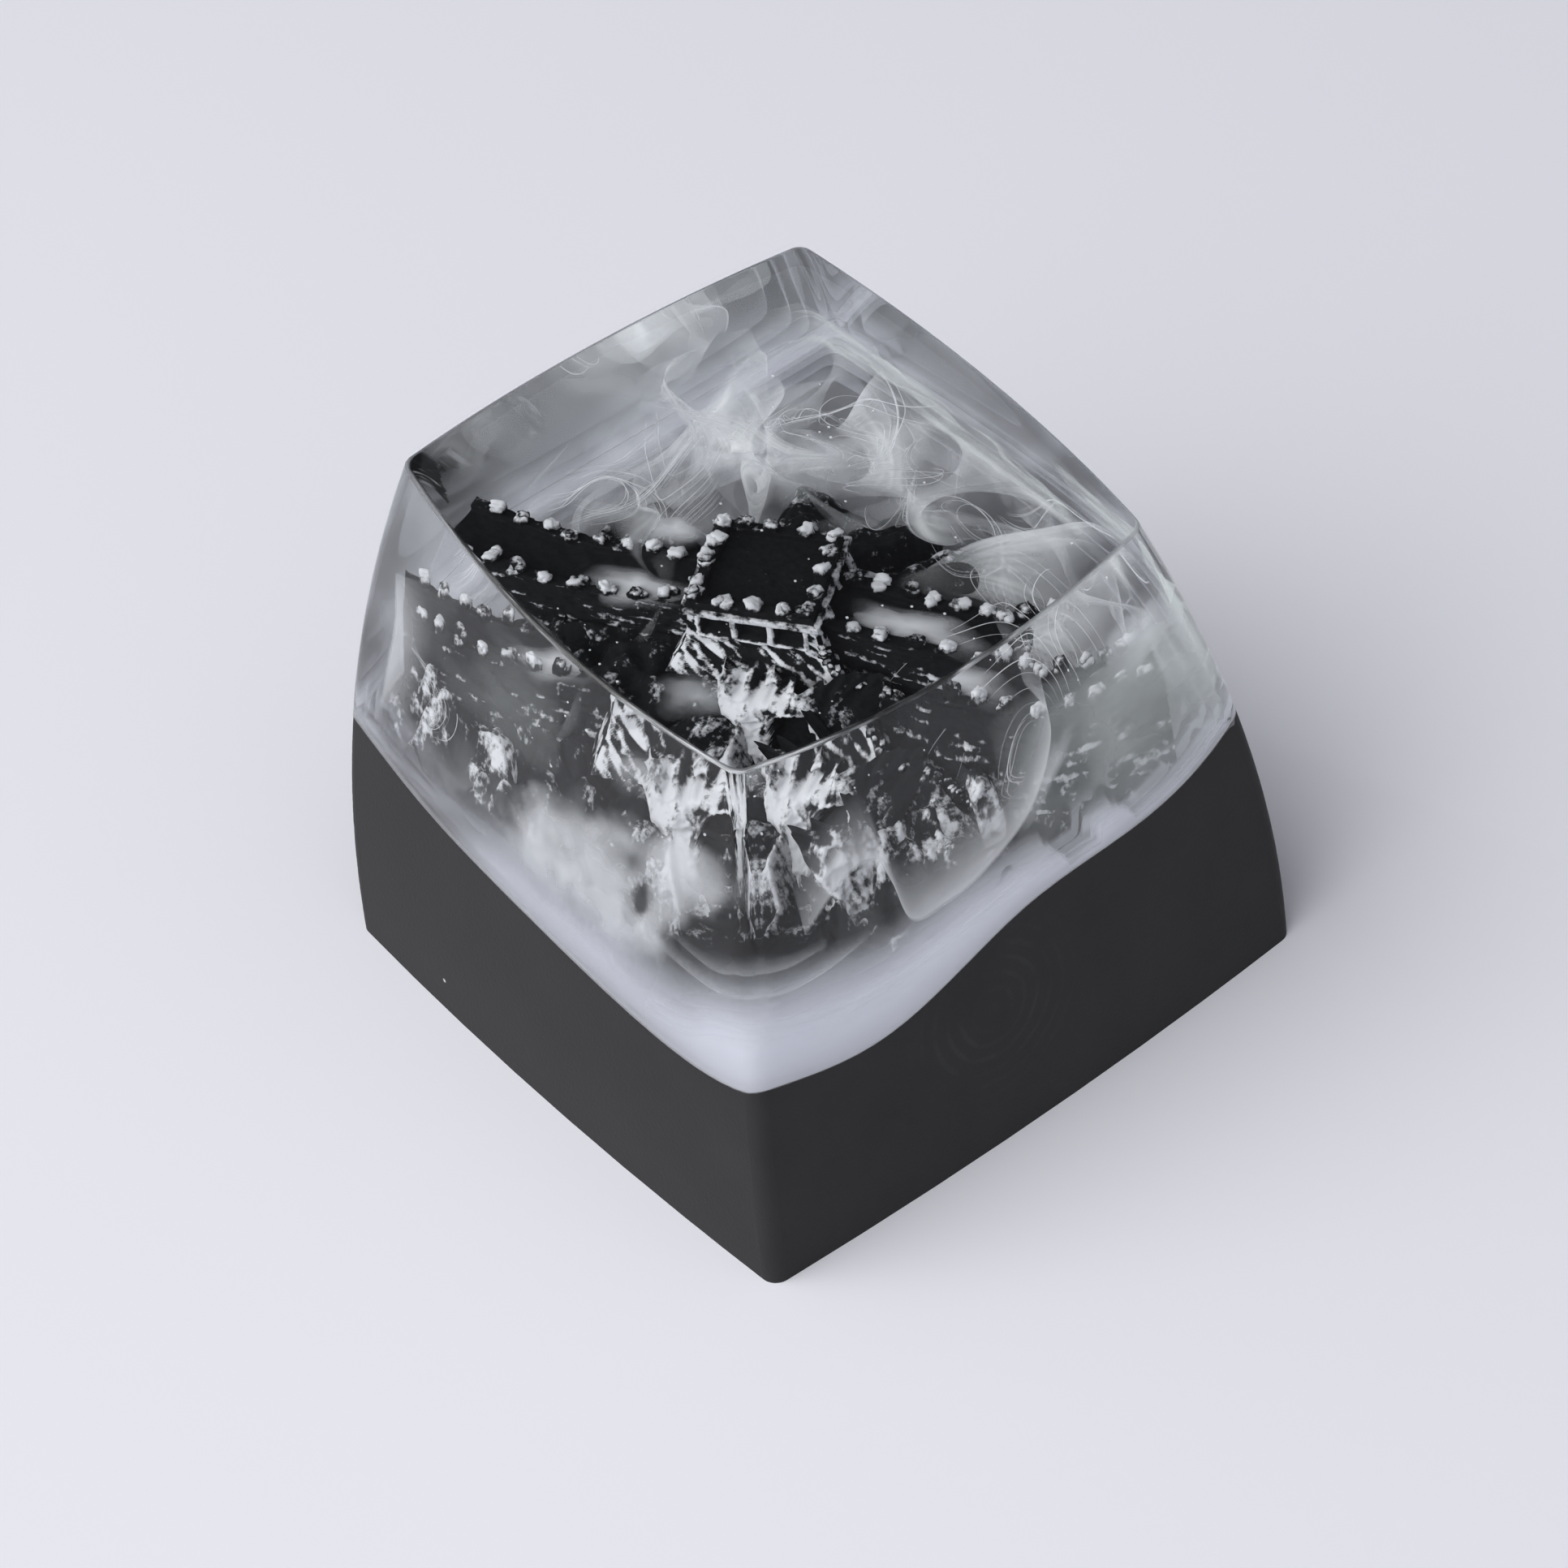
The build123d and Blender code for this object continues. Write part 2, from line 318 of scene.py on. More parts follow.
def matte_black_resin():
    """Black resin, finely sanded: grey bloom, pinprick dust and a faint thumb smudge."""
    f = material("matte_black_resin")
    place = f.place()
    cloud = f.grain(420.0, 5.0, place=place)
    sanding = f.grain(9000.0, 3.0, place=place)
    dust = f.node("ShaderNodeTexVoronoi", {}, {"Vector": place, "Scale": 900.0}, "Distance")
    speck = f.between(0.075, 0.04, dust) * f.between(0.62, 0.68, f.grain(330.0, 2.0, place=place))
    ends = {0: place, 1: THUMB_SMUDGE}
    from_thumb = f.node("ShaderNodeVectorMath", {"operation": "DISTANCE"}, ends, "Value")
    ridges = f.node("ShaderNodeMath", {"operation": "SINE"}, {0: (from_thumb + 0.0006 * cloud) * 15000.0})
    smudge = f.between(0.0034, 0.0012, from_thumb) * f.between(0.2, 0.9, ridges) * f.between(0.4, 0.6, cloud)
    grey = f.mix(cloud, (0.0224, 0.0222, 0.0232, 1), (0.0352, 0.0349, 0.0364, 1))
    grey = f.mix(0.35 * smudge, grey, (0.045, 0.045, 0.047, 1))
    return f.surface({
        "Base Color": f.mix(speck, grey, (0.55, 0.55, 0.56, 1)),
        "Roughness": 0.46 + 0.14 * cloud - 0.06 * smudge,
        "Specular IOR Level": 0.08,
        "Normal": f.bump(sanding, 0.2, 0.00004),
    })


def clear_resin():
    """Polished clear resin, faintly grey green; lamps shine through it."""
    f = material("clear_resin")
    glass = f.node("ShaderNodeBsdfPrincipled", {}, {
        "Base Color": (0.965, 0.98, 0.978, 1),
        "Roughness": 0.28 * f.mark("edge") + 0.02,
        "IOR": 1.5,
        "Transmission Weight": 1.0,
    })
    lamp = f.node("ShaderNodeLightPath", {}, {}, "Is Shadow Ray")
    tint = f.node("ShaderNodeBsdfTransparent", {}, {"Color": (0.86, 0.88, 0.88, 1)})
    return f.close(f.blend(lamp, glass, tint))


def painted_rock():
    """Near-black paint, dry-brushed with crusts of white where the paint mark is strong."""
    f = material("painted_miniature")
    place = f.place()
    crust = f.grain(1500.0, 4.0, 0.6, place)
    strokes = f.grain(6500.0, 3.0, 0.6, place, (1.0, 1.0, 0.6))
    white = f.between(0.42, 0.8, f.mark("paint") + 1.15 * (crust - 0.5) + 0.9 * (strokes - 0.5))
    stone = f.mix(strokes, (0.003, 0.0034, 0.004, 1), (0.012, 0.013, 0.0145, 1))
    return f.surface({
        "Base Color": f.mix(white, stone, (0.6, 0.61, 0.645, 1)),
        "Roughness": 0.85,
        "Specular IOR Level": 0.05,
        "Normal": f.bump(strokes, 0.35, 0.00005),
    })


def mist(name, colour, painted_glow):
    """White ink, lit from both sides and see-through by its mark; it also gives off light of its own by the
    given strength, a painted glow in place of the light that scatters within milky resin.
    """
    f = material(name)
    lit = f.node("ShaderNodeBsdfPrincipled", {}, {
        "Base Color": colour,
        "Roughness": 1.0,
        "Specular IOR Level": 0.0,
        # Painted glow: emission in place of the light scattered within milky resin
        "Emission Color": colour,
        "Emission Strength": painted_glow,
    })
    glowing = f.node("ShaderNodeBsdfTranslucent", {}, {"Color": colour})
    nothing = f.node("ShaderNodeBsdfTransparent", {}, {})
    ink = f.close(f.blend(f.mark("ink"), nothing, f.blend(0.5, lit, glowing)))
    ink.cycles.emission_sampling = "NONE"
    return ink


def table_paint():
    """The pale table top, faintly mottled."""
    f = material("table_paint")
    soft = f.grain(9.0, 3.0)
    return f.surface({
        "Base Color": f.mix(soft, (0.79, 0.795, 0.85, 1), (0.83, 0.835, 0.885, 1)),
        "Roughness": 0.7,
        "Specular IOR Level": 0.2,
    })


# Outer form


def through(values, t):
    """A smooth value at share t of the height, through its values at rim, waist and top."""
    rim, waist, top = values
    return rim * (1 - t) * (1 - 2 * t) + 4 * waist * t * (1 - t) + top * t * (2 * t - 1)


def height_share(y, z):
    return z / (TOP_HEIGHT + tan(TOP_TILT) * (y - TOP_SHIFT))


def outer(t, angle, inset=0.0):
    """Points on the outer form at share t of the height, at an angle about its middle."""
    half = through(HALF_WIDTHS, t) - inset
    bulge = through(SIDE_BULGES, t)
    turn = (angle + pi / 4) % (pi / 2) - pi / 4
    bow = np.sin(turn) ** 2 * bulge / half ** 2
    reach = 2 * (half + bulge) / (np.cos(turn) + np.sqrt(np.cos(turn) ** 2 + 4 * bow * (half + bulge)))
    lean = np.arctan(2 * bulge / half)
    middle = half * sqrt(2) - CORNER_RADIUS / np.sin(pi / 4 + lean)
    off = pi / 4 - np.abs(turn)
    rounded = middle * np.cos(off) + np.sqrt(np.maximum(CORNER_RADIUS ** 2 - (middle * np.sin(off)) ** 2, 0))
    span = np.arctan2(CORNER_RADIUS * np.sin(pi / 4 - lean), middle + CORNER_RADIUS * np.cos(pi / 4 - lean))
    reach = np.where(off < span, rounded, reach)
    x = reach * np.cos(angle)
    y = reach * np.sin(angle) + TOP_SHIFT * t
    return stacked(x, y, t * (TOP_HEIGHT + tan(TOP_TILT) * (y - TOP_SHIFT)))


def dish_height(x, y):
    """Height of the dished top above a point."""
    lift = DISH_RADIUS - DISH_DEPTH
    middle_y = TOP_SHIFT - sin(TOP_TILT) * lift
    middle_z = TOP_HEIGHT + cos(TOP_TILT) * lift
    return middle_z - np.sqrt(DISH_RADIUS ** 2 - x ** 2 - (y - middle_y) ** 2)


def side_angles(per_side):
    """Angles around the cap, close together at the four corners."""
    corner = np.radians(np.linspace(-1.9, 1.9, 9))
    side = np.radians(np.linspace(2.8, 87.2, per_side))
    return np.concatenate([k * pi / 2 + pi / 4 + part for k in range(4) for part in (corner, side)])


def solid_below(node):
    """A tree of a CAD node's faces, to find its height from above."""
    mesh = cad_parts[node].data
    return BVHTree.FromPolygons([v.co for v in mesh.vertices], [p.vertices for p in mesh.polygons])


def height_of(solid, points):
    """Heights of a solid's upper face at points; where there is none, the rim."""
    heights = []
    for x, y in np.asarray(points)[:, :2]:
        hit = solid.ray_cast(Vector((x, y, 30.0)) * MM, Vector((0, 0, -1)))[0]
        heights.append(hit.z / MM if hit else 0.0)
    return np.array(heights)


def edge_share(solid, angles):
    """Share of the height at which a poured solid's upper face meets the outer form."""
    t = np.full(len(angles), 0.5)
    for _ in range(6):
        spot = outer(t, angles, 0.05)
        t = height_share(spot[:, 1], height_of(solid, spot))
    return t


black_solid = solid_below("base_shell")
cloud_solid = solid_below("cloud_layer")


def clear_top_piece():
    """The clear pour as one closed body: bowed sides, rounded top edge and dish."""
    angles = side_angles(34)
    seam = edge_share(black_solid, angles)
    low, high = np.full(len(angles), 0.9), np.full(len(angles), 1.03)
    for _ in range(40):
        t = (low + high) / 2
        spot = outer(t, angles)
        under = spot[:, 2] < dish_height(spot[:, 0], spot[:, 1])
        low, high = np.where(under, t, low), np.where(under, high, t)
    corner = outer(low, angles)
    axis = np.array([0, TOP_SHIFT, 0])

    def on_dish(share):
        spot = axis + (corner - axis) * share
        spot[:, 2] = dish_height(spot[:, 0], spot[:, 1])
        return spot

    nudge = 0.02
    down = outer(low - nudge, angles) - corner
    inward = on_dish(1 - nudge) - corner
    down_length = np.linalg.norm(down, axis=1)
    inward_length = np.linalg.norm(inward, axis=1)
    opening = np.arccos((down * inward).sum(1) / down_length / inward_length)
    tangent = TOP_EDGE_RADIUS / np.tan(opening / 2)
    wall_end = low - nudge * tangent / down_length
    dish_start = (1 - nudge * tangent / inward_length)[:, None]
    rows = []
    for share in (0.85, 0.6, 0.35, 0.12):
        rows.insert(0, axis + (outer(seam, angles, 0.6) - axis) * share)
    for row in rows:
        row[:, 2] = height_of(black_solid, row) - 0.25
    for depth, inset in ((0.3, 0.45), (0.06, 0.06), (0.0, 0.0)):
        rows.append(outer(seam - depth / TOP_HEIGHT, angles, inset))
    for share in np.linspace(0, 1, 28)[1:]:
        rows.append(outer(seam + (wall_end - seam) * share, angles))
    satin = [0.0] * len(rows)
    start, finish = rows[-1], on_dish(dish_start)
    for share in np.linspace(0, 1, 8)[1:-1]:
        rows.append(start * (1 - share) ** 2 + 2 * corner * share * (1 - share) + finish * share ** 2)
        satin.append(1.0)
    for share in np.linspace(1, 0, 18)[:-1]:
        rows.append(on_dish(dish_start * share))
        satin.append(0.0)
    heap = Heap()
    heap.add_rows(rows, [np.full(len(angles), gloss) for gloss in satin], closed=True)
    bottom, top, last = heap.count, heap.count + 1, heap.count - len(angles)
    heap.add([(0, TOP_SHIFT, rows[0][:, 2].mean()), (0, TOP_SHIFT, dish_height(0, TOP_SHIFT))], [], 0.0)
    for i in range(len(angles)):
        j = (i + 1) % len(angles)
        heap.faces += [[bottom, j, i], [top, last + i, last + j]]
    return heap.piece("clear_top_resin", clear_resin(), "clear_resin", "clear_top", "edge", outward=True)


def far_side(angles):
    """1 on the right and back sides, 0 on the left and front ones."""
    return ramp(-0.05, 0.6, np.cos(angles - radians(45)))


def cloud_floor(heap, angles, crest):
    """The milky pour's upper face: thick at the back, thin over the rocks in front."""
    axis = np.array([0, TOP_SHIFT, 0])
    edge = outer(crest, angles, 0.006)
    beside = ((0.4, 0, 0), (-0.4, 0, 0), (0, 0.4, 0), (0, -0.4, 0))
    rows, marks = [], []
    for share in (1.0, 0.985, 0.95, *np.linspace(0.9, 0.02, 40)):
        row = axis + (edge - axis) * share
        if share < 0.94:
            low = np.min([height_of(cloud_solid, row + step) for step in beside], axis=0)
            row[:, 2] = np.maximum(low, height_of(black_solid, row) + 0.1)
        else:
            row[:, 2] = edge[:, 2] - (1 - share) * 4
        lumps = rough(row, 2.2, 3)
        row[:, 2] += 0.25 * lumps * ramp(1.0, 0.8, share)
        back = ramp(-2.0, 5.5, 0.85 * row[:, 0] + 0.5 * row[:, 1])
        strength = 0.04 + 0.16 * back + (0.12 + 0.2 * back) * ramp(0.86, 0.97, share)
        rows.append(row)
        marks.append(np.clip(strength * (0.9 + 0.5 * lumps), 0, 1))
    heap.add_rows(rows, marks, closed=True)


# Veils of the milky pour: how far in they lie, how strong they are and how far up they reach
MILK_VEILS = ((0.04, 0.6, 1.0), (0.2, 0.6, 1.1), (0.45, 0.6, 1.2), (0.8, 0.55, 1.35), (1.25, 0.5, 1.5))


def cloud_piece():
    """The milky pour: veils under the outer face, dense at the seam, silky at the back left, and thinned on
    the left, window side as painted shade.
    """
    angles = side_angles(80)
    seam = edge_share(black_solid, angles)
    crest = np.maximum(edge_share(cloud_solid, angles), seam + 0.02)
    far = far_side(angles)
    left_back = ramp(-0.15, 0.5, -np.cos(angles)) * ramp(0.1, 0.5, np.sin(angles))
    # Less ink on the left, window side is painted shade against the window's light; the back-left share is
    # the silky look
    thin = 1 - 0.5 * ramp(0.6, 0.95, -np.cos(angles)) - 0.25 * left_back
    heap = Heap()
    for inset, strength, reach in MILK_VEILS:
        rows, marks = [], []
        for share in np.linspace(-0.05, 1.3 * reach, 26):
            row = outer(seam + (crest - seam) * share, angles, inset)
            lumps = 0.3 * rough(row, 3.4, 2)
            slant = stacked(0.45 * row[:, 0], 0.45 * row[:, 1], 2.0 * row[:, 2] - 0.7 * row[:, 0])
            silk = 1 - 0.8 * left_back * (1 - np.clip(0.45 + 1.3 * rough(slant + inset, 1.2, 3), 0, 1))
            fade = 1 - ramp(0.5 - 0.5 * far, 1.15, (share + lumps) / reach)
            rows.append(row)
            marks.append(strength * (1 - 0.35 * far) * thin * silk * fade)
        marks[-1] = np.zeros(len(angles))
        heap.add_rows(rows, marks, closed=True)
    cloud_floor(heap, angles, crest)
    # The milky pour gets a painted glow of 0.4, standing in for light scattered within it
    return heap.ink_piece("cloud_layer_band", (0.66, 0.67, 0.74, 1), 0.4, "milky_resin")


# Miniature: rock


# Crests of the rock, from point to point
ROCK_LINES = (
    (
        (-5.3, 7.1, 10.0), (-3.9, 4.3, 9.8), (-1.6, 1.2, 9.7), (-0.5, 0.1, 9.6),
        (0.6, -1.5, 9.8), (1.5, -4.0, 9.8), (3.1, -5.6, 9.3), (6.2, -6.3, 8.8),
    ),
    (
        (-1.4, -1.0, 8.9), (-2.7, -2.2, 9.1), (-3.3, -3.0, 9.3),
        (-3.9, -4.2, 8.7), (-5.0, -5.0, 8.2), (-5.9, -5.9, 7.4),
    ),
    ((0.7, -2.6, 9.7), (-0.6, -3.8, 9.2), (-1.9, -5.0, 8.8), (-2.6, -6.2, 7.8)),
    ((-0.6, -3.8, 9.2), (-0.5, -5.5, 8.7), (0.2, -6.6, 7.6)),
    ((-2.2, 1.4, 9.6), (-4.2, 1.2, 9.3), (-5.3, 1.1, 9.0), (-6.4, 1.9, 8.6)),
    ((-3.6, 3.2, 9.8), (-5.8, 3.2, 9.4), (-6.4, 3.2, 8.6)),
    ((-2.0, -0.2, 9.2), (-4.6, -1.4, 8.8), (-5.9, -1.8, 7.9)),
    ((-4.9, 5.2, 9.8), (-6.2, 5.5, 9.2)),
    ((0.4, 0.8, 9.7), (1.8, 2.0, 9.5), (3.2, 3.0, 8.6)),
    ((-2.4, 3.0, 9.6), (-1.4, 4.6, 9.4), (-0.6, 6.0, 8.4)),
    ((1.0, -1.4, 9.8), (3.4, -1.6, 9.4), (5.0, -1.4, 8.6)),
    ((0.8, 0.0, 9.8), (3.3, 0.7, 9.2), (4.8, 1.0, 8.4)),
)
# Patches of more or less white paint on the rock: place, reach and gain
WHITE_ROCK = (
    (-3.4, -3.9, 1.5, 0.30), (-2.2, -4.6, 1.1, 0.22), (-6.2, 5.4, 0.8, 0.42), (-6.1, 2.7, 0.7, 0.42),
    (-4.4, -2.6, 0.9, 0.2), (-0.4, -5.4, 0.7, 0.3), (1.2, -5.6, 0.8, 0.2), (0.2, 2.7, 0.9, 0.35),
    (-1.6, -3.6, 1.0, 0.22), (-6.0, -6.0, 1.8, -0.4),
)
# Faces of rock: foot, turn in degrees, width, lower and upper end, lean, hollows, paint and its drift.
# A hollow is a cave: middle, sill, width, height, depth and number of steps.
CRAGS = (
    ((-3.3, -3.2), 208, 4.2, 6.4, 9.9, 0.45, ((0.3, 6.9, 1.25, 2.3, 1.3, 6),), 0.7, -0.08),
    ((-2.9, -5.1), 268, 2.6, 6.2, 9.6, 0.25, (), 0.6, -0.12),
    ((-0.9, -5.9), 268, 1.5, 6.2, 8.8, 0.3, (), 0.5, 0.2),
    ((0.5, -6.0), 262, 0.8, 6.6, 9.4, 0.1, (), 0.66, 0.0),
    ((-6.2, 5.5), 185, 1.1, 7.4, 10.1, 0.1, (), 0.66, 0.0),
    ((-6.1, 2.6), 200, 1.1, 6.8, 9.5, 0.1, (), 0.66, 0.0),
)
# A line of loose stones down the front
SPINE = (
    (-1.15, -2.75, 11.1), (-1.1, -2.9, 10.2), (-0.9, -3.3, 9.6),
    (-0.4, -4.0, 9.3), (0.1, -4.9, 8.9), (0.3, -5.6, 8.3),
)


def near_line(x, y, line):
    """Distance from points to a line on the ground, and the line's height at the nearest spot."""
    best, height = np.full(x.shape, 99.0), np.zeros(x.shape)
    for (ax, ay, az), (bx, by, bz) in zip(line, line[1:]):
        run = (bx - ax) ** 2 + (by - ay) ** 2
        share = np.clip(((x - ax) * (bx - ax) + (y - ay) * (by - ay)) / run, 0, 1)
        away = np.hypot(x - ax - share * (bx - ax), y - ay - share * (by - ay))
        nearer = away < best
        best = np.where(nearer, away, best)
        height = np.where(nearer, az + share * (bz - az), height)
    return best, height


def rock_piece(finish):
    """The ridge's rock: crests that fall off in broken lumps, sunk into the black pour."""
    line = np.arange(-7.4, 7.41, ROCK_GRID)
    xs, ys = np.meshgrid(line, line)
    flat = stacked(xs, ys, np.zeros(xs.shape))
    wx = xs + 0.7 * rough(flat + (3, 0, 0), 1.7, 3)
    wy = ys + 0.7 * rough(flat + (0, 9, 4), 1.7, 3)
    z = np.full(xs.shape, 4.0)
    for line in ROCK_LINES:
        away, crest = near_line(wx, wy, line)
        z = np.maximum(z, crest - 0.25 * away - 1.0 * np.maximum(away - 0.35, 0) ** 1.15)
    place = stacked(xs, ys, 0.5 * z)
    z = z + 0.6 * (crags(place, 2.4, 3) - 0.45) + 0.3 * rough(place + 20, 0.8, 3)
    z = z + 0.16 * (crags(place + 40, 0.55, 3) - 0.4)
    for line in (WALL_LEFT, WALL_RIGHT):
        away, deck = near_line(xs, ys, line)
        z = np.minimum(z, deck - 1.5 + 1.6 * np.maximum(away - 1.2, 0))
    away = np.hypot(xs - TOWER_X, ys - TOWER_Y)
    z = np.minimum(z, 9.2 + 1.2 * np.maximum(away - 2.3, 0))
    ground = height_of(black_solid, flat.reshape(-1, 3)).reshape(xs.shape)
    for (x, y), turn, _, _, _, _, hollows, _, _ in CRAGS:
        c, s = cos(radians(turn)), sin(radians(turn))
        for middle, sill, wide, _, deep, _ in hollows:
            hole_x = x - s * middle - 0.35 * deep * c
            hole_y = y + c * middle - 0.35 * deep * s
            gully = ((hole_x, hole_y, 0), (hole_x + 3.0 * c, hole_y + 3.0 * s, 0))
            z = np.minimum(z, sill - 0.1 + 3.0 * np.maximum(near_line(xs, ys, gully)[0] - 0.6 * wide, 0))
    room = through(HALF_WIDTHS, height_share(ys, z)) - 0.55
    convex = np.clip((z - blur(z, 15)) / 0.14, -1, 1)
    fall = ground + 3.0 * (room - np.maximum(np.abs(xs), np.abs(ys)))
    white = 0.27 + 0.17 * convex + 0.16 * rough(flat + 30, 1.3, 2) - 0.4 * ramp(0.0, 0.3, z - fall)
    z = np.maximum(np.minimum(z, fall), ground - 0.35)
    for x, y, reach, gain in WHITE_ROCK:
        white += gain * np.exp(-((xs - x) ** 2 + (ys - y) ** 2) / reach ** 2)
    faces = quads(*xs.shape)
    shown = (z > ground - 0.3).reshape(-1)
    faces = faces[shown[faces].any(axis=1)]
    used, faces = np.unique(faces, return_inverse=True)
    points = stacked(xs, ys, z).reshape(-1, 3)
    heap = Heap()
    heap.add(points[used], faces.reshape(-1, 4), white.reshape(-1)[used])
    for crag in CRAGS:
        crag_face(heap, *crag)
    path, _ = smooth_line(SPINE, 0.13)
    for number, spot in enumerate(path):
        size = 0.17 + 0.07 * np.sin(number * np.array([1.7, 2.3, 3.1]))
        stray = 0.09 * np.sin(number * np.array([4.1, 5.3, 6.7]))
        stone(heap, spot + stray, size, number * 1.3, number, 0.34)
    return heap.piece("ridge_rock", finish, "painted_miniature", "ridge_miniature")


def crag_face(heap, foot, turn, width, low, high, lean, hollows, paint, drift):
    """A leaning face of rock, with caves cut in that have steps and a white lip."""
    turn = radians(turn)
    columns, levels = int(width / CRAG_GRID), int((high - low) / CRAG_GRID)
    along, up = np.meshgrid(np.linspace(-0.5, 0.5, columns) * width, np.linspace(low, high, levels))
    ahead = np.array([cos(turn), sin(turn), 0])
    side = np.array([-sin(turn), cos(turn), 0])
    spot = np.array([*foot, 0]) + along[..., None] * side + up[..., None] * np.array([0, 0, 1])
    rim = np.hypot(along * 2 / width, (2 * up - low - high) / (high - low)) + 0.45 * rough(spot, 0.9, 3)
    out = 0.3 * (crags(spot, 1.3, 4) - 0.4) + 0.12 * rough(spot + 5, 0.4, 3) - 1.6 * ramp(0.75, 1.35, rim)
    out = out - lean * (up - (low + high) / 2)
    white = paint + drift * along + 0.16 * rough(spot + 8, 0.9, 3) + 0.3 * rough(spot + 3, 0.32, 2)
    white = white - 0.5 * ramp(0.8, 1.2, rim) + 0.34 * rough(spot * (1, 1, 0.25) + 14, 0.5, 3)
    white = white - 0.5 * ramp(low + 1.1, low + 0.2, up)
    for middle, sill, wide, tall, deep, treads in hollows:
        arch = np.hypot((along - middle) / wide * 2, np.maximum(up - sill - tall + wide / 2, 0) / wide * 2)
        opening = 1 - ramp(0.85, 1.05, arch + 0.2 * rough(spot, 0.3, 2))
        inside = opening * ramp(sill - 0.05, sill + 0.05, up)
        climb = (up - sill) / tall
        riser = (climb * treads) % 1
        lip = 1 - ramp(1.0, 1.5, arch)
        step_paint = -0.4 + 0.5 * (riser > 0.8) * (along > middle)
        white = np.where(inside > 0.4, step_paint, np.maximum(white, 0.8 * lip))
        out = out - inside * (deep * (0.55 + 0.45 * np.clip(climb, 0, 1)) - 0.1 * (riser > 0.75))
    heap.add(spot + out[..., None] * ahead, quads(*along.shape), white)


# Miniature: wall and tower


def smooth_line(line, step):
    """Even points on a smooth curve through a line's points, and how far along it they lie."""
    p = np.array(line, float)
    p = np.concatenate([[2 * p[0] - p[1]], p, [2 * p[-1] - p[-2]]])
    curve = []
    for a, b, c, d in zip(p, p[1:], p[2:], p[3:]):
        for t in np.linspace(0, 1, 60, endpoint=False):
            bend, twist = 2 * a - 5 * b + 4 * c - d, 3 * b - a - 3 * c + d
            curve.append(0.5 * (2 * b + (c - a) * t + bend * t ** 2 + twist * t ** 3))
    curve = np.array(curve + [p[-2]])
    along = np.concatenate([[0], np.cumsum(np.linalg.norm(np.diff(curve, axis=0), axis=1))])
    places = np.linspace(0, along[-1], int(along[-1] / step) + 1)
    return stacked(*[np.interp(places, along, curve[:, k]) for k in range(3)]), places


def fill_in(corners, step):
    """Even points along straight runs between corners."""
    points = []
    for a, b in zip(np.array(corners), np.array(corners)[1:]):
        count = max(int(np.linalg.norm(b - a) / step), 1)
        points += [a + (b - a) * k / count for k in range(count)]
    return np.array(points + [np.array(corners[-1])])


def stone(heap, middle, size, turn, seed, paint):
    """One rough stone: a rounded block with chipped faces, painted from above."""
    cube = bmesh.new()
    bmesh.ops.create_cube(cube, size=2.0)
    bmesh.ops.subdivide_edges(cube, edges=cube.edges[:], cuts=4, use_grid_fill=True)
    points = np.array([v.co for v in cube.verts])
    faces = [[v.index for v in f.verts] for f in cube.faces]
    cube.free()
    points = points / (np.abs(points) ** 4).sum(1, keepdims=True) ** (1 / 4)
    points = points * (1 + 0.32 * rough(points + seed * 3.7, 0.9, 4)[:, None]) * np.array(size) / 2
    heap.add(turned(points, turn) + middle, faces, paint + 0.7 * points[:, 2] / size[2])


def tooth(heap, foot, turn, seed, paint):
    """One tooth of a parapet: a few small stones heaped unevenly."""
    chance = np.random.default_rng(seed)
    for _ in range(chance.integers(2, 4)):
        size = chance.uniform(0.22, 0.4, 3) + (0.04, 0.0, 0.06)
        spread = chance.normal(size=3) * (0.07, 0.05, 0.05) + (0, 0, size[2] / 2)
        swing, chip, shade = chance.normal() * 0.5, chance.uniform(0, 9), chance.normal() * 0.1
        stone(heap, foot + spread, size, turn + swing, seed + chip, paint + shade)


def courses(along, up, height=0.3, length=0.55):
    """Depth of the joints between courses of stone, 0 on a stone and 1 in a joint."""
    row = np.floor(up / height)
    bed = np.abs((up / height) % 1 - 0.5) * 2
    shift = (np.sin(row * 12.9898) * 43758.5453) % 1
    head = np.abs((along / length + shift) % 1 - 0.5) * 2
    return np.maximum(ramp(0.4, 0.95, bed), ramp(0.62, 0.97, head))


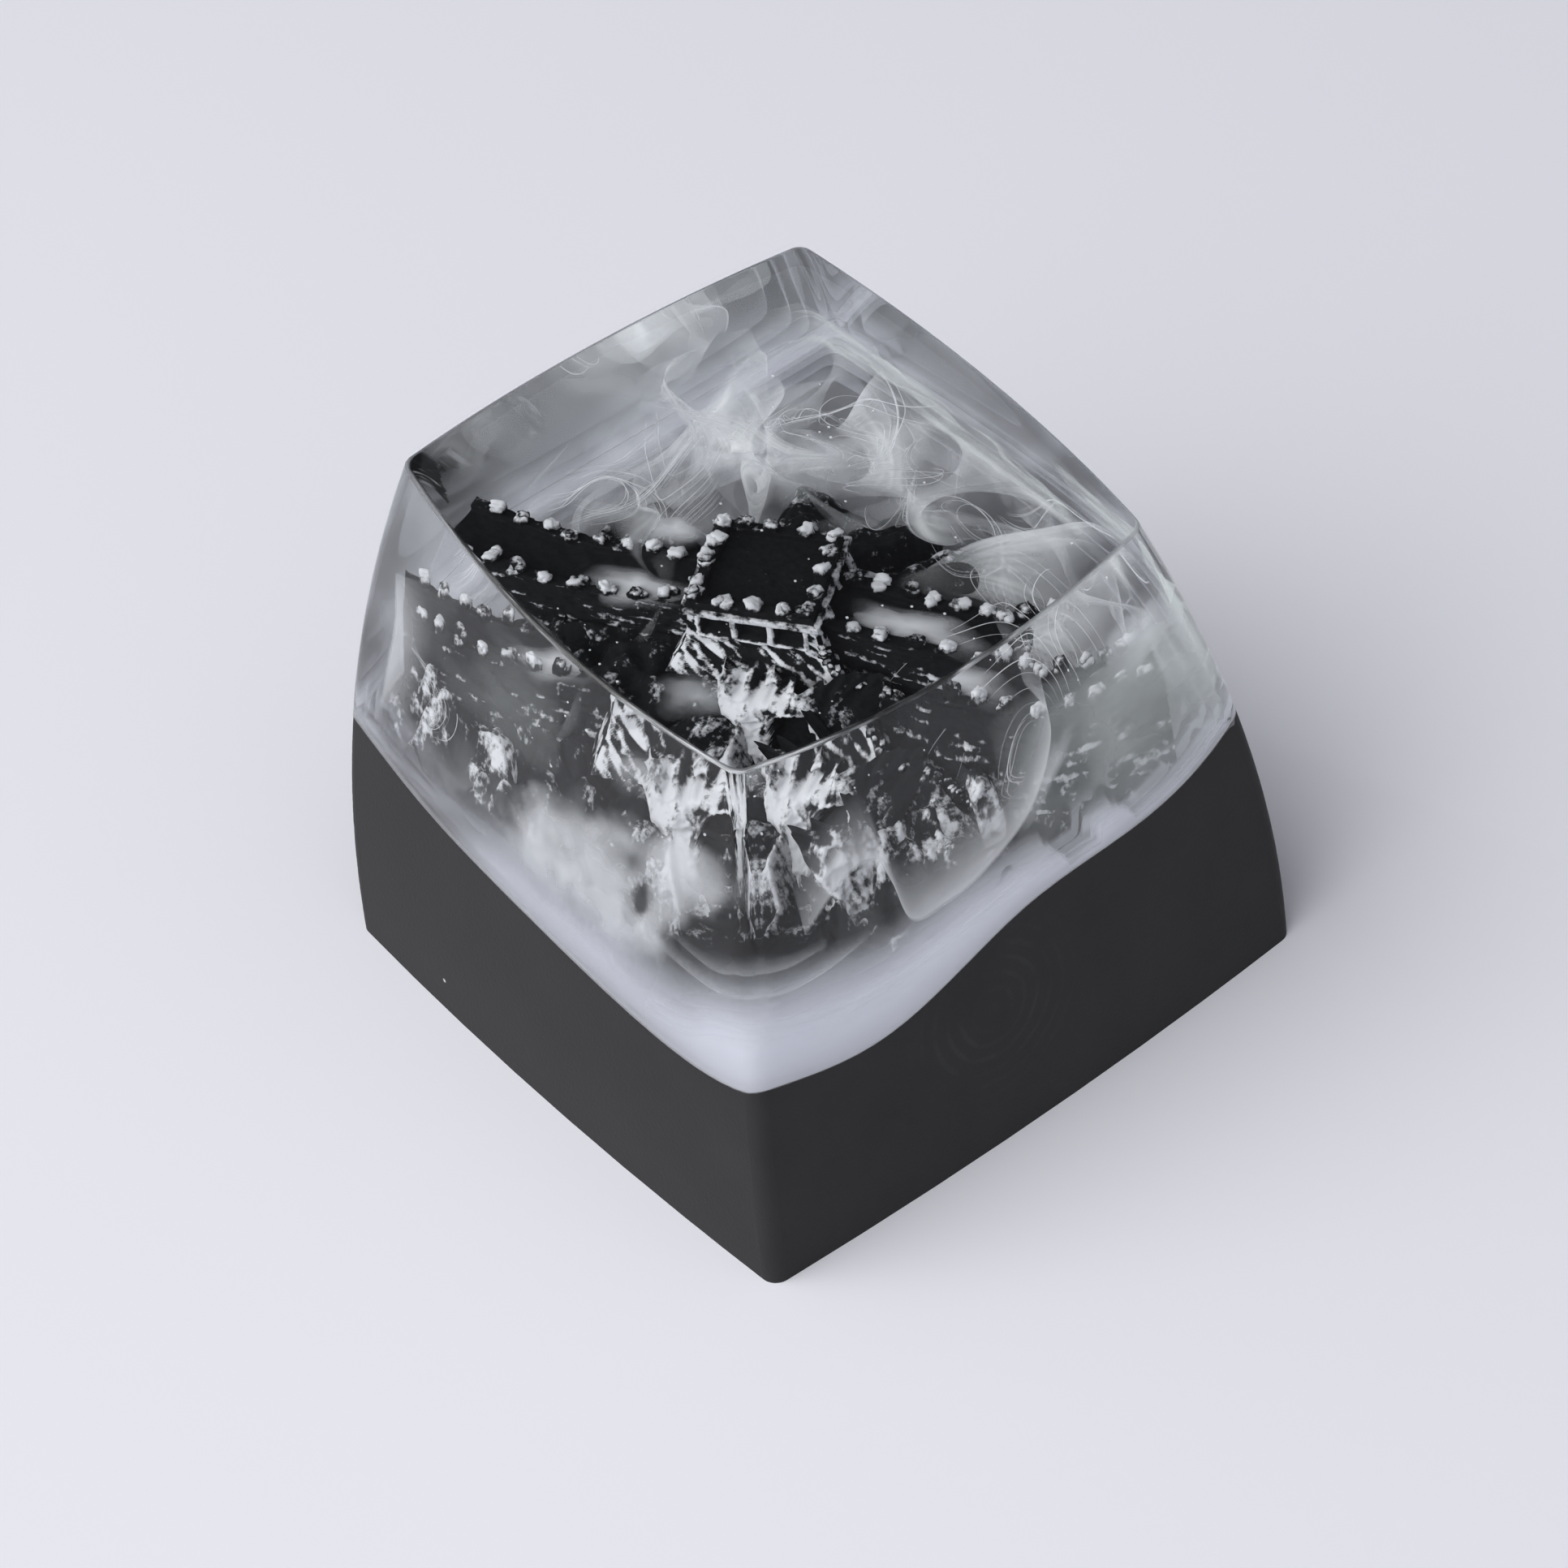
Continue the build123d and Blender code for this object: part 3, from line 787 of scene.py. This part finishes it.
def wall_piece(finish):
    """The wall: battered stone faces, a sunk walkway and rough teeth along both edges."""
    heap = Heap()
    half = WALL_WIDTH / 2
    right = ((half - 0.36, 0.0), (half - 0.33, 0.22), (half + 0.03, 0.2), (half, -0.02), (half + 0.45, -3.3))
    section = fill_in([(-x, z) for x, z in right[::-1]] + list(right), WALL_GRID)
    for index, line in enumerate((WALL_LEFT, WALL_RIGHT)):
        path, places = smooth_line(line, WALL_GRID)
        ahead = np.gradient(path, axis=0)
        ahead /= np.linalg.norm(ahead[:, :2], axis=1)[:, None]
        side = stacked(-ahead[:, 1], ahead[:, 0], np.zeros(len(path)))
        points = path[:, None, :] + side[:, None, :] * section[None, :, 0, None]
        points[:, :, 2] += section[None, :, 1]
        out = np.sign(section[:, 0]) * ramp(half - 0.15, half, np.abs(section[:, 0]))
        along = np.broadcast_to(places[:, None], points.shape[:2])
        up = np.broadcast_to(section[None, :, 1], points.shape[:2])
        joint = courses(along, up + 6.0)
        chip = rough(points, 0.6, 2)
        points = points + side[:, None, :] * (out[None, :] * (0.05 * chip - 0.045 * joint))[:, :, None]
        points[:, :, 2] += 0.045 * rough(points + 11, 0.4, 3)
        crest = ramp(0.1, 0.2, section[:, 1])
        deck = (1 - np.abs(out)) * (1 - crest)
        streak = rough(stacked(along + 0.9 * up, 3.0 * up, np.full(up.shape, 7.0 * index)), 0.6, 3)
        low_face = (0.24 * ramp(0.2, 1.4, -up) + 0.5 * streak) * np.abs(out)[None, :]
        white = 0.16 + 0.18 * chip - 0.12 * joint + 0.1 * crest[None, :] - 0.1 * deck[None, :] + low_face
        heap.add(points, quads(*points.shape[:2]), white)
        for number, place in enumerate(np.arange(0.75 - 0.45 * index, places[-1], TOOTH_PITCH)):
            spot, across = (
                np.array([np.interp(place, places, v[:, k]) for k in range(3)]) for v in (path, side)
            )
            turn = np.arctan2(across[0], -across[1])
            for edge in (-1, 1):
                seed = 2 * number + (edge + 1) // 2 + 60 * index
                stray = (0.06 * sin(seed * 4.1), 0.06 * sin(seed * 6.7), 0.16)
                foot = spot + across * edge * (half - 0.16) + stray
                tooth(heap, foot, turn, seed, 0.4 + 0.14 * sin(seed * 7.7))
    return heap.piece("ridge_wall", finish, "painted_miniature", "ridge_miniature")


def tower_piece(finish):
    """The watchtower: battered faces with windows and slanted cuts, cornice, parapet and teeth."""
    heap = Heap()
    body_top = TOWER_FOOT_HALF - TOWER_BODY * TOWER_BATTER
    cornice_half = body_top + CORNICE_OUT
    platform_half = cornice_half - 0.16
    floor = TOWER_BODY + CORNICE_HEIGHT
    parapet_top, parapet_in = floor + PARAPET_HEIGHT, platform_half - PARAPET_THICK

    def stand(points):
        """From the tower's own frame to the cap's."""
        return turned(points, TOWER_TURN) + (TOWER_X, TOWER_Y, TOWER_FOOT)

    profile = fill_in(
        (
            (TOWER_FOOT_HALF + 0.4, 0.0), (TOWER_FOOT_HALF - 1.25 * TOWER_BATTER, 1.25),
            (body_top, TOWER_BODY - 0.02), (cornice_half, TOWER_BODY), (cornice_half, floor),
            (platform_half, floor + 0.02), (platform_half, parapet_top), (parapet_in, parapet_top),
            (parapet_in, floor), (0.02, floor),
        ),
        TOWER_GRID,
    )
    share = np.linspace(-1, 1, 76)
    half, up = (np.repeat(profile[:, [k]], len(share), axis=1) for k in (0, 1))
    along = half * share[None, :]
    on_face = up < TOWER_BODY - 0.03
    across, run = 0.75 * along + 0.66 * up, 0.66 * along - 0.75 * up
    window, frame_edge = np.zeros(along.shape), np.zeros(along.shape)
    for k in (-1, 0, 1):
        beside = np.abs(along - WINDOW_PITCH * k) - WINDOW_HALF_WIDTH
        away = np.maximum(beside, np.abs(up - WINDOW_UP) - WINDOW_HALF_HEIGHT)
        window = np.maximum(window, 1 - ramp(-0.02, 0.04, away))
        rim = ramp(-0.02, 0.03, away) * (1 - ramp(0.1, 0.2, away))
        frame_edge = np.maximum(frame_edge, rim)
    edge_keep = 1 - ramp(0.93, 1.0, np.abs(share))[None, :]
    corner = ramp(0.9, 0.97, np.abs(share))[None, :]
    for face in range(4):
        turn = face * pi / 2
        stroke = rough(stacked(4.5 * across, 0.9 * run, np.full(up.shape, 5.0 * face)), 1.0, 3)
        chip = rough(stacked(half + 3 * face, along, up), 0.45, 4)
        cut = -0.36 * window + 0.06 * frame_edge + 0.07 * np.minimum(stroke, 0.3) * (1 - window)
        out = half + (np.where(on_face, cut, 0) + 0.035 * chip * (half > 0.3)) * edge_keep
        lift = np.where(half < parapet_in, 0.03 * chip, 0)
        local = turned(stacked(out, along, up + lift), turn)
        face_paint = 0.42 + 0.9 * stroke + 0.3 * corner
        face_paint = np.where(frame_edge > 0.4, 0.75 + 0.2 * chip, face_paint) - 1.5 * window
        rim_paint = np.where(half > platform_half + 0.02, 0.6 + 0.25 * chip, 0.18 + 0.4 * chip)
        white = np.where(on_face, face_paint, rim_paint)
        white = np.where(half < parapet_in + 0.02, 0.12 + 0.15 * chip, white)
        heap.add(stand(local), quads(*along.shape), white)
        for k in range(4):
            place = (k / 3.75 * 2 - 1) * (platform_half - 0.2)
            foot = np.array([platform_half - PARAPET_THICK / 2, place, parapet_top - 0.04])
            seed = 200 + face * 4 + k
            tooth(heap, stand(turned(foot, turn)), TOWER_TURN + turn, seed, 0.36 + 0.2 * sin(seed * 7.7))
    return heap.piece("ridge_tower", finish, "painted_miniature", "ridge_miniature")


# Mist in the clear pour


# Standing veils: their line seen from above, crest and strength
VEILS = (
    (((-3.0, 6.6), (0.5, 6.2), (3.5, 5.6), (5.8, 4.2)), 11.0, 0.5),
    (((2.8, 4.2), (4.3, 3.4), (5.6, 1.8), (6.1, 0.2)), 11.2, 0.65),
    (((6.6, 3.0), (7.0, 0.5), (6.8, -2.4), (5.8, -4.4)), 11.0, 0.65),
    (((-6.8, 6.2), (-7.0, 3.4), (-7.1, 0.6), (-6.9, -2.4), (-6.0, -4.6)), 9.4, 0.2),
    (((-5.4, -6.4), (-3.4, -6.8), (-1.6, -7.1), (0.8, -7.0), (2.4, -6.8)), 9.2, 0.2),
    (((3.2, -7.2), (5.0, -7.3), (6.7, -6.9)), 10.8, 0.5),
)
# Folds: their crisp edge, the way in which they fade, and strength
FOLDS = (
    (
        (
            (-5.6, -6.7, 8.6), (-4.3, -6.8, 9.6), (-3.4, -6.9, 9.7), (-3.1, -7.1, 8.9), (-2.8, -7.35, 7.6),
            (-1.8, -7.4, 7.5), (-0.6, -7.4, 7.7), (1.1, -7.2, 8.4), (2.1, -7.0, 9.6), (2.4, -6.7, 10.6),
            (2.0, -6.2, 11.6),
        ),
        (0.2, 0.9, 1.6), 0.9,
    ),
    (
        ((-7.5, -4.0, 7.9), (-7.2, -5.9, 7.5), (-6.7, -6.7, 7.4), (-5.6, -7.2, 7.6), (-4.2, -7.5, 8.0)),
        (0.35, 0.3, 0.3), 0.4,
    ),
    (((-7.2, -4.6, 8.3), (-6.9, -5.9, 7.9), (-6.2, -6.4, 7.8), (-5.2, -6.9, 8.1)), (0.3, 0.3, 0.25), 0.3),
    (((-7.5, 7.3, 8.4), (-7.1, 6.9, 10.2), (-6.9, 6.7, 11.4), (-6.6, 6.9, 12.6)), (0.6, -1.6, 0.3), 0.7),
)
# Lumps of the swelling behind the left side: middle in y and z, width, height, lean and amount
BILLOWS = (
    (-5.3, 10.4, 1.0, 1.0, 0.0, 0.55), (-0.5, 8.7, 1.9, 1.5, 0.25, 1.0), (-2.5, 9.4, 1.7, 1.3, 0.3, 0.8),
    (-4.4, 9.9, 1.2, 1.5, 0.2, 0.8), (-2.6, 8.0, 2.2, 0.8, 0.0, 0.9),
)
# Soft pools: middle, long side, short side, crown and strength
POOLS = (
    ((-3.1, 2.2, 10.8), (-1.2, 1.6, 0), (0.6, 0.45, 0), (0, 0, 0.2), 0.85),
    ((1.0, -3.6, 10.9), (0.95, -1.9, -0.1), (0.7, 0.35, 0), (0, 0, 0.2), 0.85),
    ((-1.1, 3.4, 10.7), (0.9, -0.7, 0), (0.45, 0.6, 0), (0, 0, 0.3), 0.7),
    ((-4.3, -1.5, 10.2), (0.9, -1.3, 0), (0.7, 0.5, 0.1), (-0.1, -0.1, 0.3), 0.22),
    ((5.7, -6.0, 10.9), (1.5, 0.2, 0.3), (0, 0.4, 1.0), (0, -0.6, 0), 0.6),
    ((2.0, -6.6, 9.0), (1.2, 0.1, 0.9), (0.3, 0, 0.8), (0, -0.4, 0), 0.6),
)
# Sheets at the back: the line of ink before it is stirred, and strength
BACK_SHEETS = (
    ((-4.0, 7.2, 9.0), (6.8, 6.0, 9.2), 0.7),
    ((-2.5, 6.8, 10.0), (6.6, 3.0, 10.0), 0.65),
    ((0.5, 6.0, 11.0), (6.2, 1.0, 10.6), 0.6),
    ((3.0, 5.5, 9.0), (7.2, -3.5, 9.2), 0.7),
    ((2.0, 2.0, 9.6), (7.0, 0.5, 9.6), 0.65),
    ((-1.6, 5.2, 10.6), (4.0, 3.4, 11.4), 0.5),
    ((2.4, -1.5, 10.2), (6.4, -3.0, 10.0), 0.5),
    ((1.0, 3.0, 9.4), (4.6, 5.6, 9.4), 0.7),
    ((4.0, -3.4, 9.2), (7.0, -4.6, 9.4), 0.55),
)
# Fainter, more even sheets at the back left
SILK_SHEETS = (
    ((-6.2, 6.9, 9.2), (1.2, 6.9, 9.6)), ((-5.8, 6.2, 10.4), (0.8, 5.2, 11.2)),
    ((-3.0, 5.6, 9.8), (3.4, 6.4, 9.4)),
)
# Where bundles of threads start
THREAD_ROOTS = (
    (4.2, 2.5, 10.8), (3.6, 1.8, 11.2), (5.0, 0.9, 10.4), (2.2, 6.0, 10.8), (1.0, 4.4, 11.0),
    (5.8, -1.6, 10.2), (4.4, -3.0, 10.6), (-2.6, 6.6, 11.0), (6.2, 2.4, 9.8), (3.0, 4.4, 11.4),
    (2.6, -6.4, 10.6), (-6.6, 6.2, 10.8), (5.0, 4.6, 10.2),
)


class Stirring:
    """A smooth swirl of the wet resin, made of random waves."""

    def __init__(self, seed, shortest, longest):
        count = 14
        chance = np.random.default_rng(seed)
        heading = unit(chance.normal(size=(count, 3)))
        length = np.exp(chance.uniform(np.log(shortest), np.log(longest), count))
        self.waves = heading * (2 * pi / length)[:, None]
        self.phases = chance.uniform(0, 2 * pi, count)
        self.flow = np.cross(self.waves, chance.normal(size=(count, 3))) * (length ** 1.4)[:, None]
        self.flow /= np.abs(self.flow).mean() * count ** 0.5

    def at(self, points):
        return np.cos(points @ self.waves.T + self.phases) @ self.flow


def eased(value, limit, soft=0.8):
    """A value that nears a limit softly and never passes it."""
    past = np.maximum(value - limit + soft, 0)
    return np.minimum(value, limit - soft) + soft * (1 - np.exp(-past / soft))


def keep_inside(points, cover=0.45):
    """Points eased back into the clear resin where they would leave it."""
    x, y, z = points[..., 0], points[..., 1], points[..., 2]
    z = eased(z, TOP_HEIGHT + tan(TOP_TILT) * (y - TOP_SHIFT) - DISH_DEPTH - cover)
    z = np.maximum(z, 6.6)
    room = through(HALF_WIDTHS, height_share(y, z)) - cover
    return stacked(np.sign(x) * eased(np.abs(x), room), np.sign(y) * eased(np.abs(y), room), z)


def cloudy(points, size, low, high):
    """Soft patches at points, from 0 in the gaps to 1."""
    return ramp(low, high, 0.5 + 0.5 * rough(points, size, 2))


def drifted_sheet(heap, start, end, stirring, seeds, steps, stride, strength, strands, even):
    """A line of ink, stirred out into a folded sheet of strands that thins where stretched."""
    line = np.linspace(0, 1, seeds)
    points = np.array(start) * (1 - line[:, None]) + np.array(end) * line[:, None]
    first_gap = np.linalg.norm(points[1] - points[0])
    strand = 1.0
    for count in (seeds // 2, seeds // 9):
        strand = strand * np.interp(line, np.linspace(0, 1, count), strands.random(count))
    strand = np.clip(even + 1.7 * (1 - even) * strand, 0, 1) * swelling(seeds, 0.5)
    rows, marks = [], []
    for age in np.linspace(0, 1, steps):
        rows.append(keep_inside(points))
        gap = np.linalg.norm(np.gradient(points, axis=0), axis=1)
        thin = np.clip((first_gap / np.maximum(gap, 1e-6)) ** 0.7, 0, 1.7)
        marks.append(np.clip(strength * thin * strand * np.sin(pi * min(age * 1.15 + 0.02, 1)) ** 0.7, 0, 1))
        half = points + 0.5 * stride * stirring.at(points)
        points = points + stride * stirring.at(half)
    points = np.concatenate(rows)
    patches = cloudy(points, 2.4, -0.1, 0.75) * (0.7 + 0.3 * ramp(-5.0, 0.5, points[:, 0]))
    heap.add(points, quads(steps, seeds), np.concatenate(marks) * patches)


def thread(heap, path, radius, strength):
    """A fine thread of ink: a tube that tapers at both ends."""
    count = len(path)
    ahead = unit(np.gradient(path, axis=0))
    side = unit(np.cross(ahead, (0.31, 0.17, 0.94)))
    third = np.cross(ahead, side)
    width = radius * swelling(count, 0.6, 0.03)[:, None]
    rings = [path + width * (side * cos(a) + third * sin(a)) for a in (0, pi / 2, pi, 3 * pi / 2)]
    heap.add(np.stack(rings, axis=1), quads(count, 4, closed=True), strength)


def skin(heap, first, last, low, high, inset, strength, shift, lumps=0.9):
    """A soft veil under the outer form, between two angles and two heights."""
    columns, levels = 90, 40
    turns = np.radians(np.linspace(first, last, columns))
    angles, shares = np.meshgrid(turns, np.linspace(low, high, levels) / TOP_HEIGHT)
    spots = stacked(4 * angles, 40 * shares, 0 * angles + shift)
    points = outer(shares, angles, inset + 0.3 * lumps * rough(spots, 1.0, 2))
    fade = swelling(columns, 0.5)[None, :] * swelling(levels, 0.7)[:, None]
    cloud = np.clip(0.75 + lumps * rough(points * (1, 1, 1.6) + 17 * shift, 3.2, 3), 0, 1)
    heap.add(points, quads(*angles.shape), strength * fade * cloud)


def ring_haze(heap, inset, strength):
    """An even haze under the outer face all round, thickest along the two far sides."""
    angles = side_angles(40)
    seam = edge_share(black_solid, angles)
    far = far_side(angles)
    rows, marks = [], []
    for share in np.linspace(0, 1, 24):
        rows.append(outer(seam + (0.965 - seam) * share, angles, inset))
        marks.append(strength * far * ramp(0, 0.2, share) * (1 - 0.4 * share))
    heap.add_rows(rows, marks, closed=True)


def veil(heap, line, crest, strength, seed):
    """A standing, folded veil of ink along a curve, thin towards its crest."""
    path, _ = smooth_line([(x, y, 0.0) for x, y in line], 0.1)
    across = unit(np.gradient(path, axis=0)[:, [1, 0, 2]] * (1, -1, 0))
    foot = height_of(black_solid, path) + 0.5
    rows, marks = [], []
    for share in np.linspace(0, 1, 34):
        row = path + (0, 0, 1) * (foot + (crest - foot) * share)[:, None]
        row = row + across * (0.35 * rough(row * (1, 1, 0.5) + seed, 1.6, 2) * share)[:, None]
        rows.append(keep_inside(row))
        ends = swelling(len(path), 0.6, 0.02)
        folds = np.clip(0.6 + 0.9 * rough(row * (1, 1, 0.35) + 2 * seed, 1.1, 3), 0, 1)
        marks.append(strength * ends * folds * (1 - share) ** 0.7)
    heap.add_rows(rows, marks)


def puff(heap, middle, long_side, short_side, crown, strength, seed):
    """A soft swelling of ink: nested caps that fade towards their rims."""
    turns, shares = np.meshgrid(np.linspace(0, 2 * pi, 48, endpoint=False), np.linspace(0.02, 1, 18))
    around = stacked(np.cos(turns), np.sin(turns))
    for size in (1.0, 0.8, 0.6):
        wobble = 1 + 0.45 * rough(np.concatenate([around, shares[..., None] + seed + size], axis=-1), 0.9, 2)
        reach = (size * shares * wobble)[..., None]
        rise = (size * np.sqrt(1 - shares ** 2))[..., None]
        points = middle + reach * (around @ np.array([long_side, short_side])) + rise * crown
        ink = strength * (1 - shares) ** 1.1 * np.clip(0.8 + 0.6 * rough(points + seed, 0.9, 3), 0, 1)
        heap.add(keep_inside(points, 0.15), quads(*turns.shape, closed=True), ink)


def billow(heap, inset, strength, seed):
    """A milky swelling close behind the left side, with a gap in it like an eye."""
    y, z = np.meshgrid(np.linspace(-6.4, 2.4, 110), np.linspace(6.8, 12.0, 80))
    bulge = 0.43 * (1 - (y / 8) ** 2)
    points = stacked(inset - bulge - through(HALF_WIDTHS, height_share(y, z)), y, z)
    warp = 0.35 * rough(points + seed, 1.4, 3)
    ink = np.zeros(y.shape)
    for middle_y, middle_z, wide, tall, lean, amount in BILLOWS:
        across, rise = y - middle_y, z - middle_z
        edge = np.hypot((across + lean * rise) / wide, rise / tall) + warp
        ink = np.maximum(ink, amount * (1 - ramp(0.5, 1.1, edge)))
    across, rise = y + 3.63, z - 8.95
    eye = np.hypot((0.92 * across + 0.39 * rise) / 0.32, (0.92 * rise - 0.39 * across) / 0.8) + warp
    ink = ink * ramp(0.8, 1.15, eye) * np.clip(0.8 + 0.7 * rough(points + 9, 1.5, 3), 0, 1)
    heap.add(points, quads(*y.shape), strength * ink)


def curtain(heap, line, rise, strength, seed):
    """A fold of ink: a crisp edge along a curve, fading away from it."""
    path, _ = smooth_line(line, 0.08)
    shares = np.linspace(0, 1, 26)[:, None, None]
    sway = 0.25 * rough(path + seed, 1.5, 2)[:, None] * (0.6, 0.6, 0.0)
    points = path[None] + shares * (rise + sway[None]) - 0.1 * np.sin(pi * shares) * (0, 0, 1)
    ends = swelling(len(path), 0.5, 0.02)
    edge = ramp(0, 0.08, shares[..., 0]) * (1 - shares[..., 0]) ** 1.4
    heap.add(keep_inside(points, 0.2), quads(26, len(path)), strength * edge * ends[None, :])


def mist_pieces():
    """Ink in the clear pour: sheets, veils, haze, pools, folds, threads and specks."""
    chance = np.random.default_rng(5)
    back = Heap()
    for number, (start, end, strength) in enumerate(BACK_SHEETS):
        stirring, even = Stirring(20 + number, 2.6, 8.0), (0.6, 0.45, 0.2)[number % 3]
        drifted_sheet(back, start, end, stirring, 120, 66, 0.068, 1.3 * strength, chance, even)
    for number, (start, end) in enumerate(SILK_SHEETS):
        drifted_sheet(back, start, end, Stirring(60 + number, 4.0, 10.0), 120, 60, 0.052, 0.34, chance, 0.35)
    for seed, (line, crest, strength) in enumerate(VEILS):
        veil(back, line, crest, strength, 3.0 * seed)
    # The back mist gets a faint painted glow of 0.07
    thin = [back.ink_piece("mist_back", (0.9, 0.915, 0.94, 1), 0.07)]
    haze = Heap()
    ring_haze(haze, 0.4, 0.09)
    skin(haze, 142, 185, 10.2, 13.6, 0.8, 0.12, 1.0)
    skin(haze, 272, 346, 8.2, 13.0, 0.36, 0.55, 3.0, 0.5)
    skin(haze, 284, 340, 8.0, 12.4, 0.2, 0.4, 4.0, 0.4)
    skin(haze, -40, 60, 9.0, 13.6, 1.2, 0.3, 5.5)
    thin.append(haze.ink_piece("mist_haze", (0.86, 0.9, 0.9, 1)))
    folds = Heap()
    for number, pool in enumerate(POOLS):
        puff(folds, *pool, number + 1.0)
    for number, inset in enumerate((0.7, 1.0, 1.3)):
        billow(folds, inset, 0.4, 3.0 * number)
    for line, rise, strength in FOLDS:
        curtain(folds, line, rise, strength, 7.0 + line[0][0])
    folds.ink_piece("mist_folds", (0.92, 0.93, 0.97, 1))
    threads = Heap()
    for bundle, root in enumerate(THREAD_ROOTS):
        stirring = Stirring(80 + bundle, 2.0, 6.0)
        reach = chance.normal(size=3) * 0.45
        for place in np.linspace(-1, 1, 12):
            point = np.array(root) + reach * place + chance.normal(size=3) * 0.04
            path = []
            for _ in range(64):
                path.append(point)
                point = point + 0.045 * stirring.at(point[None])[0]
            radius, strength = chance.uniform(0.006, 0.016), chance.uniform(0.15, 0.5)
            thread(threads, keep_inside(np.array(path)), radius, strength)
    for _ in range(70):
        spot = chance.uniform((-6, -6, 9), (6, 6, 13))
        reach = chance.uniform(0.02, 0.05)
        thread(threads, keep_inside(spot + np.linspace(-1, 1, 5)[:, None] * (0, 0, reach)), reach, 0.75)
    thin.append(threads.ink_piece("mist_threads", (0.92, 0.93, 0.96, 1)))
    for piece in thin:
        piece.visible_shadow = False


# Pieces


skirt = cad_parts["base_shell"].data
skirt.materials.clear()
skirt.materials.append(matte_black_resin())
clear_top_piece()
cloud_piece()
miniature_paint = painted_rock()
rock_piece(miniature_paint)
wall_piece(miniature_paint)
tower_piece(miniature_paint)
mist_pieces()


# Stage, light and camera


def stage():
    """A pale table, a soft window to the left and dim room light."""
    scene = bpy.context.scene
    mesh = bpy.data.meshes.new("table")
    mesh.from_pydata([(-3, -3, 0), (3, -3, 0), (3, 3, 0), (-3, 3, 0)], [], [(0, 1, 2, 3)])
    mesh.materials.append(table_paint())
    table = placed("table", mesh)
    room = Finish(bpy.data.worlds.new("room"))
    heading = room.node("ShaderNodeTexCoord", {}, {}, "Generated")
    window_side = room.between(-0.8, 0.9, room.towards(heading, TO_WINDOW))
    ceiling = room.between(0.55, 0.93, room.towards(heading, TO_CEILING))
    tone = room.mix(window_side, (0.29, 0.295, 0.32, 1), (0.64, 0.65, 0.7, 1))
    tone = room.mix(ceiling, tone, (0.07, 0.07, 0.078, 1))
    scene.world = room.close(room.node("ShaderNodeBackground", {}, {"Color": tone}), "ShaderNodeOutputWorld")
    for name, place, size, power, tint in LAMPS:
        lamp = bpy.data.lights.new(name, "AREA")
        lamp.size, lamp.energy, lamp.color = size, power, tint
        stand = placed(name, lamp)
        stand.location = place
        stand.rotation_euler = (Vector(LAMP_TARGET) - Vector(place)).to_track_quat("-Z", "Y").to_euler()
    scene.view_settings.view_transform = "Standard"
    scene.cycles.max_bounces = 6
    scene.cycles.diffuse_bounces = 1
    scene.cycles.transparent_max_bounces = 32


def camera():
    """The photograph's viewpoint."""
    back, right = Vector(CAMERA_BACK), Vector(CAMERA_RIGHT)
    up = back.cross(right)
    x = right * cos(CAMERA_ROLL) - up * sin(CAMERA_ROLL)
    y = right * sin(CAMERA_ROLL) + up * cos(CAMERA_ROLL)
    lens = bpy.data.cameras.new("camera")
    lens.lens, lens.sensor_width = CAMERA_LENS, CAMERA_SENSOR
    lens.clip_start = 0.005
    viewer = placed("camera", lens)
    turn = Matrix((x, y, back)).transposed().to_4x4()
    viewer.matrix_world = Matrix.Translation(Vector(CAMERA_PLACE) * MM) @ turn
    bpy.context.scene.camera = viewer


stage()
camera()
